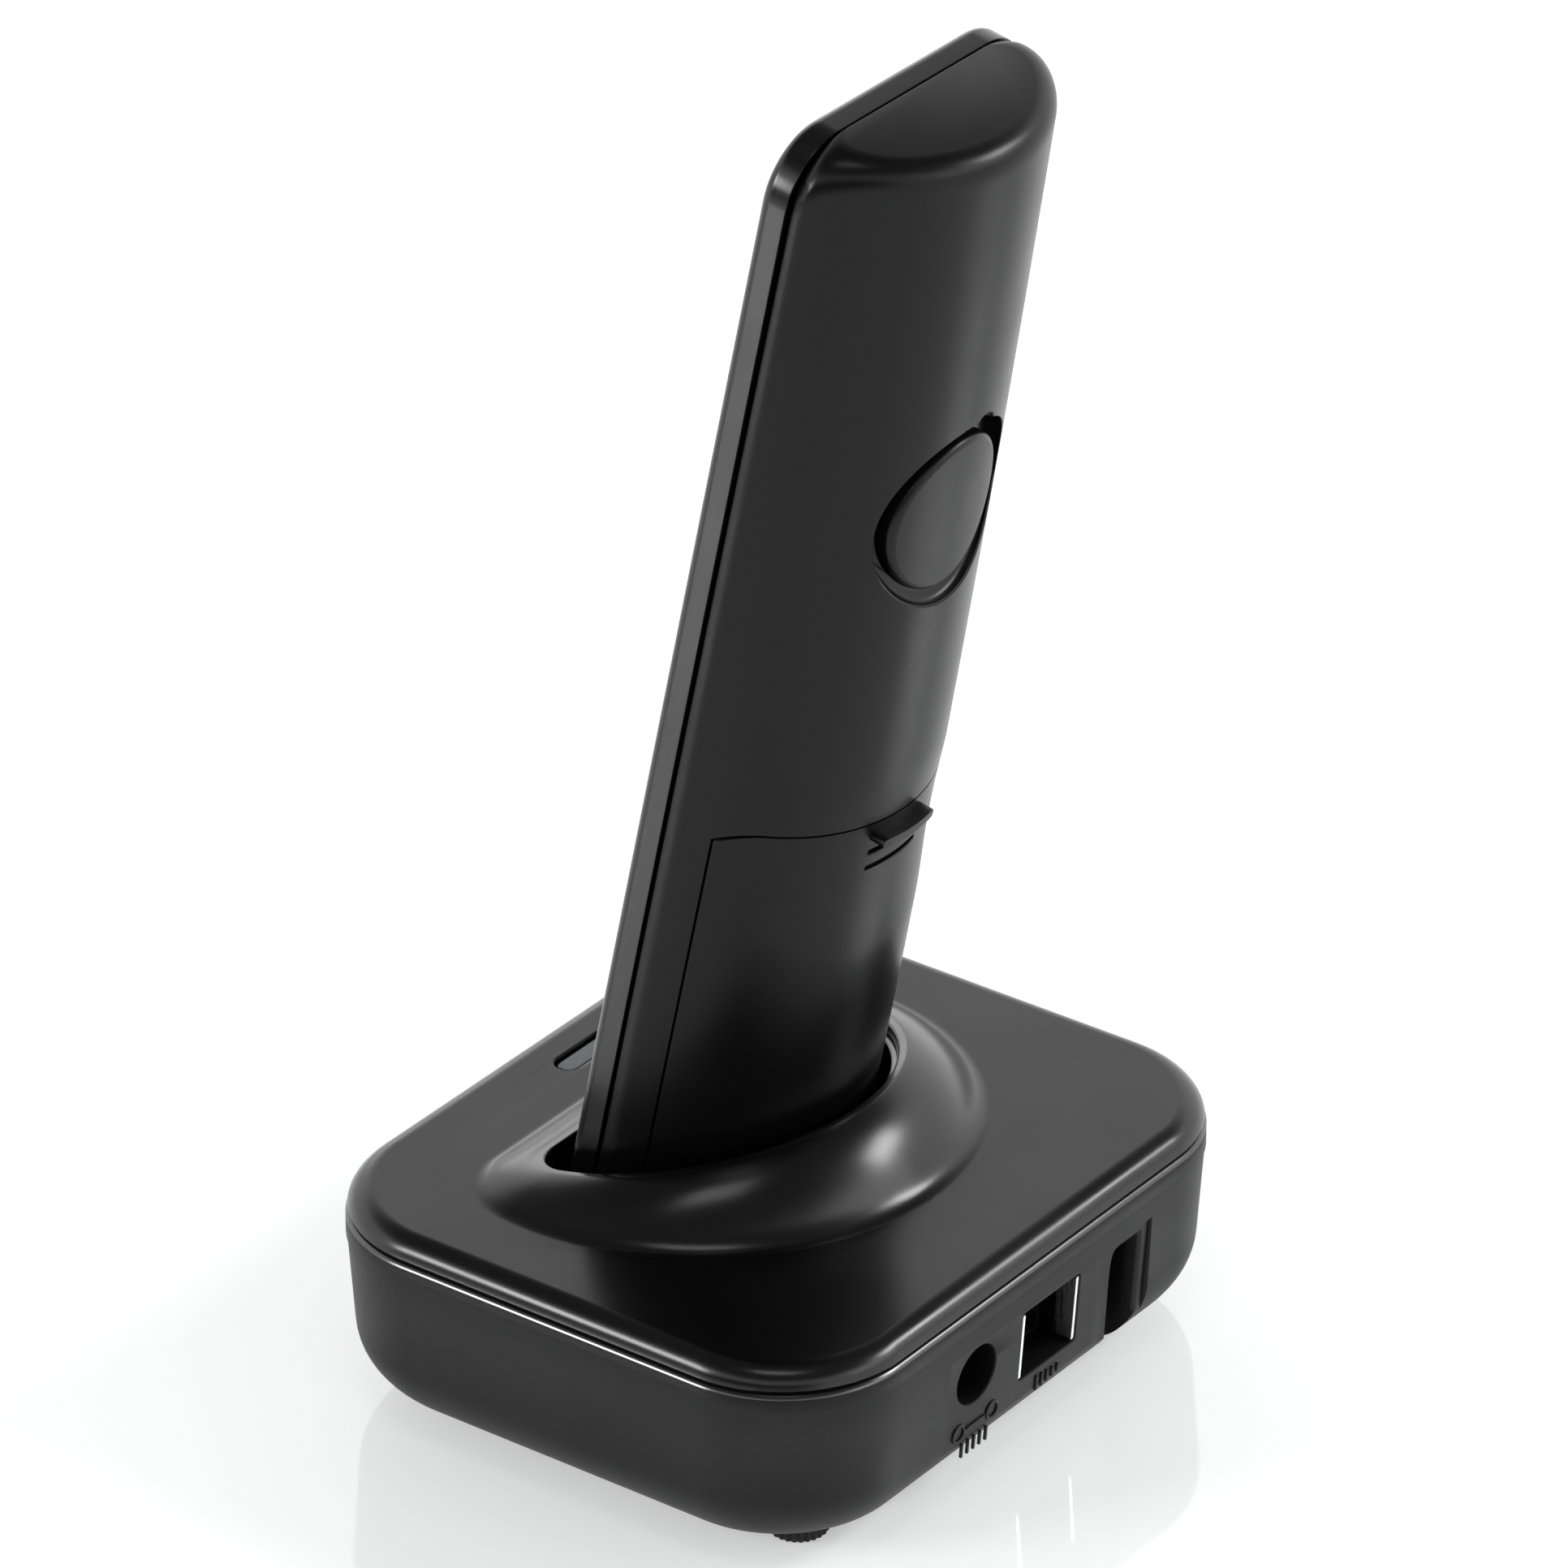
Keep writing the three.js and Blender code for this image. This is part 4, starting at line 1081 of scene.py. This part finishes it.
RUBBER = moulded("foot_rubber", (0.012, 0.012, 0.012), 0.8, 0.4, 1500.0, spread=0.08)
LENS = moulded("smoky_lens", (0.10, 0.105, 0.11), 0.18, 0.02, 3000.0, spread=0.02)
PRINT = moulded("legend_print", (0.62, 0.63, 0.64), 0.5, 0.05, 2600.0)
WRAP = moulded("cell_wrap", (0.03, 0.075, 0.22), 0.3, 0.03, 1800.0)
STEEL = brushed("steel", (0.62, 0.63, 0.64), 0.26)
GOLD = brushed("contact_gold", (0.83, 0.61, 0.24), 0.25)
# Painted highlight: a pale plated metal for the strips that stand in for the line socket's lit
# sides.
SOCKET_HIGHLIGHT_METAL = brushed("socket_highlight_metal", (0.80, 0.80, 0.82), 0.3)


def glass():
    material = principled("window_tint", (0.01, 0.011, 0.012), 0.08, coat=0.4)
    shader = material.node_tree.nodes["Principled BSDF"]
    shader.inputs["Transmission Weight"].default_value = 0.55
    vary(material, "Roughness", noise(material, 70.0), 0.05, 0.11)
    return material


def display():
    """Reflective display glass with a faint row-and-column grid."""
    material = principled("display_panel", (0.24, 0.28, 0.25), 0.22)
    tree = material.node_tree
    upright = {"Vector": in_object(tree), "Rotation": (math.pi / 2 + LEAN, 0, 0)}
    inputs = {"Vector": add_node(tree, "ShaderNodeMapping", upright).outputs["Vector"],
              "Scale": 900.0, "Mortar Size": 0.02, "Mortar": (0.20, 0.235, 0.21, 1),
              "Color1": (0.24, 0.28, 0.25, 1), "Color2": (0.25, 0.29, 0.26, 1)}
    to_shader(material, "Base Color", add_node(tree, "ShaderNodeTexBrick", inputs).outputs["Color"])
    return material


def board():
    """Green solder mask over copper tracks."""
    material = principled("circuit_board", (0.01, 0.09, 0.03), 0.35)
    tree = material.node_tree
    cells = add_node(tree, "ShaderNodeTexVoronoi", {"Scale": 420.0, "Vector": in_object(tree)},
                     distance="CHEBYCHEV", feature="F2")
    tracks = cells.outputs["Distance"]
    stops = [(0.0, (0.008, 0.075, 0.026)), (0.62, (0.02, 0.15, 0.055))]
    to_shader(material, "Base Color", ramp(tree, tracks, stops, "CONSTANT"))
    grain(material, tracks, 0.15)
    return material


GLASS, DISPLAY, BOARD = glass(), display(), board()

# ---- the base's pieces
finish_piece(base_top(), SATIN, "base", ["base_top_shell"])
lower, lower_source = base_lower()
finish_carved(lower, lower_source, (MATT, RIM, RECESS_SHADE), "base", "base_lower_shell")
bpy.data.objects.remove(lower_source)
for face in lower.data.polygons:
    x, y, z = (c / MM for c in face.center)
    z -= FOOT_PROUD
    beyond_x = max(abs(x) - BASE_X + BASE_CORNER, 0)
    beyond_y = max(abs(y) - BASE_Y + BASE_CORNER, 0)
    on_rim = math.hypot(beyond_x, beyond_y) > BASE_CORNER - 0.9
    # Painted shade: faces sunk behind the panel, inside the sockets and the slot, take the darker
    # recess material.
    sunk = 25 < y < panel_y(z) - (0.25 if x < SLOT_X1 else 0.9)
    if on_rim and z > SEAM - GAP / 2 - RIM_DROP + 0.01:
        face.material_index = 1
    elif sunk and PANEL_X0 < x < PANEL_X1 and -0.2 < z < PANEL_TOP:
        face.material_index = 2
finish_piece(cradle_cup(), SATIN, "base", ["cradle_cup"])
finish_piece(page_cap(), LENS, "page_key", ["page_key"])
for end, sy in (("front", -1), ("rear", 1)):
    for side, sx in (("left", -1), ("right", 1)):
        pad = rubber_pad(sx, sy)
        pad.name = f"ribbed_foot_{end}_{side}"
        finish_piece(pad, RUBBER, "base", [f"rubber_foot_{end}_{side}"], 50)

finish_piece(power_sleeve(), DARK, "base", ["power_jack"])
finish_piece(power_pin(), STEEL, "base", ["power_jack_pin"])
finish_piece(line_comb(), DARK, "base", ["line_jack_contacts"])
finish_piece(line_wires(), GOLD, "base", [], 50)
finish_piece(line_socket_highlight_strips(), SOCKET_HIGHLIGHT_METAL, "base", [])
finish_piece(panel_marks(), MATT, "base", [])

# ---- the handset's pieces
rear, rear_source = handset_rear()
door = battery_door(rear_source)
rear.name, door.name = "handset_back", "door_panel"
finish_carved(rear, rear_source, [SATIN_BACK], "handset", "handset_rear_shell")
finish_carved(door, rear_source, [SATIN_BACK], "battery_door", "battery_door")
bpy.data.objects.remove(rear_source)
finish_piece(clip_disc(), PLUG, "handset", ["belt_clip_plug"], 50)
finish_piece(front_shell(), SATIN, "handset", ["handset_front_shell"])
finish_piece(window_glass(), GLASS, "handset", ["display_window"])
for key in KEYS:
    finish_piece(key_cap(key), KEY_MATT, key, [key])
for label in DIGITS:
    x, v = KEYS[f"key_{label}"][:2]
    text = {"star": "*", "hash": "#"}.get(label, label)
    v -= 0.9 if label == "star" else 0
    mark = legend(f"legend_{label}", text, x, v)
    finish_piece(mark, PRINT, f"key_{label}", sharp=28.0)

# ---- carried-over pieces
KEPT = {
    "soft_rubber": RUBBER, "circuit_board": BOARD, "cell_wrap": WRAP, "steel": STEEL,
    "gold_contact": GOLD, "dark_plastic": DARK, "case_matt": MATT, "case_satin": SATIN,
    "key_plastic": KEY_MATT, "smoky_lens": LENS, "display_window": GLASS, "display_panel": DISPLAY,
}
slot_of = {entry["node"]: entry["material_slot"] for entry in frame["record"]["subparts"]}
for name, node in frame["nodes"].items():
    if node.hide_render:
        continue
    node.data.materials.clear()
    node.data.materials.append(KEPT.get(slot_of.get(name), DARK))
    bevel = node.modifiers.new("eased", "BEVEL")
    bevel.width = 0.12 * MM
    bevel.segments = 2
    bevel.limit_method = "ANGLE"
    bevel.angle_limit = math.radians(40)

# ---- floor, camera and light
FLOOR_GLOW = 0.36


def facing(tree, position, way, start, end):
    """Rises from 0 to 1 while a position's reach along a way goes from start to end."""
    reach = add_node(tree, "ShaderNodeVectorMath", {0: position, 1: way}, operation="DOT_PRODUCT")
    return eased(tree, reach.outputs["Value"], start, end)


def floor():
    size = 3.0
    corners = [(-size, -size, 0), (size, -size, 0), (size, size, 0), (-size, size, 0)]
    data = bpy.data.meshes.new("floor")
    data.from_pydata(corners, [], [(0, 1, 2, 3)])
    obj = placed("floor", data)
    pale, dark = (0.86, 0.865, 0.87), (0.12, 0.12, 0.12, 1)
    material = principled("floor_acrylic", pale, 0.06, specular=0.9)
    vary(material, "Roughness", noise(material, 4.0), 0.05, 0.08)
    tree = material.node_tree
    shader = tree.nodes["Principled BSDF"]
    shader.inputs["Emission Color"].default_value = (1, 1, 1, 1)
    shader.inputs["Emission Strength"].default_value = FLOOR_GLOW
    # Painted shade: out of view, the floor's colour darkens from 0.4 m to 0.95 m out towards the
    # camera's side, so the pieces reflect a dark floor there.
    near = facing(tree, in_object(tree), (0.98, 0.2, 0), 0.4, 0.95)
    to_shader(material, "Base Color", mixed(tree, near, (*pale, 1), dark))
    data.materials.append(material)


def camera():
    data = bpy.data.cameras.new("camera")
    data.lens = 240.5
    data.sensor_width = 36.0
    data.clip_start, data.clip_end = 0.05, 50
    obj = placed("camera", data)
    look = Vector((-0.7023, -0.5189, -0.4874))
    right = look.cross(Vector((0, 0, 1))).normalized()
    up = right.cross(look)
    turn = Matrix((right, up, -look)).transposed().to_4x4()
    obj.matrix_world = Matrix.Translation((0.9163, 0.6778, 0.7179)) @ turn
    bpy.context.scene.camera = obj


def softbox(name, direction, distance, width, height, power, target=(0, 0, 0.08)):
    data = bpy.data.lights.new(name, "AREA")
    data.shape = "RECTANGLE"
    data.size, data.size_y = width, height
    data.energy = power
    obj = placed(name, data)
    way = Vector(direction).normalized()
    obj.location = Vector(target) + way * distance
    obj.rotation_mode = "QUATERNION"
    obj.rotation_quaternion = way.to_track_quat("Z", "Y")


def toward(azimuth, elevation):
    """The unit direction at an azimuth from +X and an elevation, both in degrees."""
    a, e = math.radians(azimuth), math.radians(elevation)
    return (math.cos(a) * math.cos(e), math.sin(a) * math.cos(e), math.sin(e))


def studio():
    """A pale dome with a dimmer ring halfway up and a dark gap low on the camera's side."""
    world = bpy.data.worlds.new("studio")
    bpy.context.scene.world = world
    world.use_nodes = True
    tree = world.node_tree
    way = add_node(tree, "ShaderNodeTexCoord").outputs["Generated"]
    height = add_node(tree, "ShaderNodeSeparateXYZ", {"Vector": way}).outputs["Z"]
    stops = [(at, (tone, tone, tone)) for at, tone in zip(DOME_HEIGHTS, DOME_TONES)]
    dome = ramp(tree, height, stops)
    near = facing(tree, way, toward(12, 0), 0.45, 0.8)
    low = eased(tree, height, 0.5, 0.2)
    both = add_node(tree, "ShaderNodeMath", {0: near, 1: low}, operation="MULTIPLY")
    tone = mixed(tree, both.outputs["Value"], dome, (0.08, 0.08, 0.08, 1))
    background = tree.nodes["Background"]
    tree.links.new(tone, background.inputs["Color"])
    background.inputs["Strength"].default_value = DOME_STRENGTH
    softbox("key_right", toward(137, 33), 1.3, 0.42, 0.24, 5.2)
    softbox("fill_right", toward(112, 24), 1.5, 1.2, 0.5, 2.4)
    softbox("key_left", toward(-32, 18), 1.3, 0.42, 0.3, 5.8)
    softbox("edge_strip", toward(-134, 12), 1.4, 0.5, 0.1, 0.5)
    softbox("overhead", toward(29, 73), 1.4, 0.5, 0.3, 1.2)


DOME_HEIGHTS = (0.52, 0.61, 0.68, 0.9)
DOME_TONES = (1.0, 0.33, 0.12, 0.1)
DOME_STRENGTH = 1.3
floor()
camera()
studio()
bpy.context.scene.view_settings.view_transform = "Standard"

bpy.context.view_layer.update()
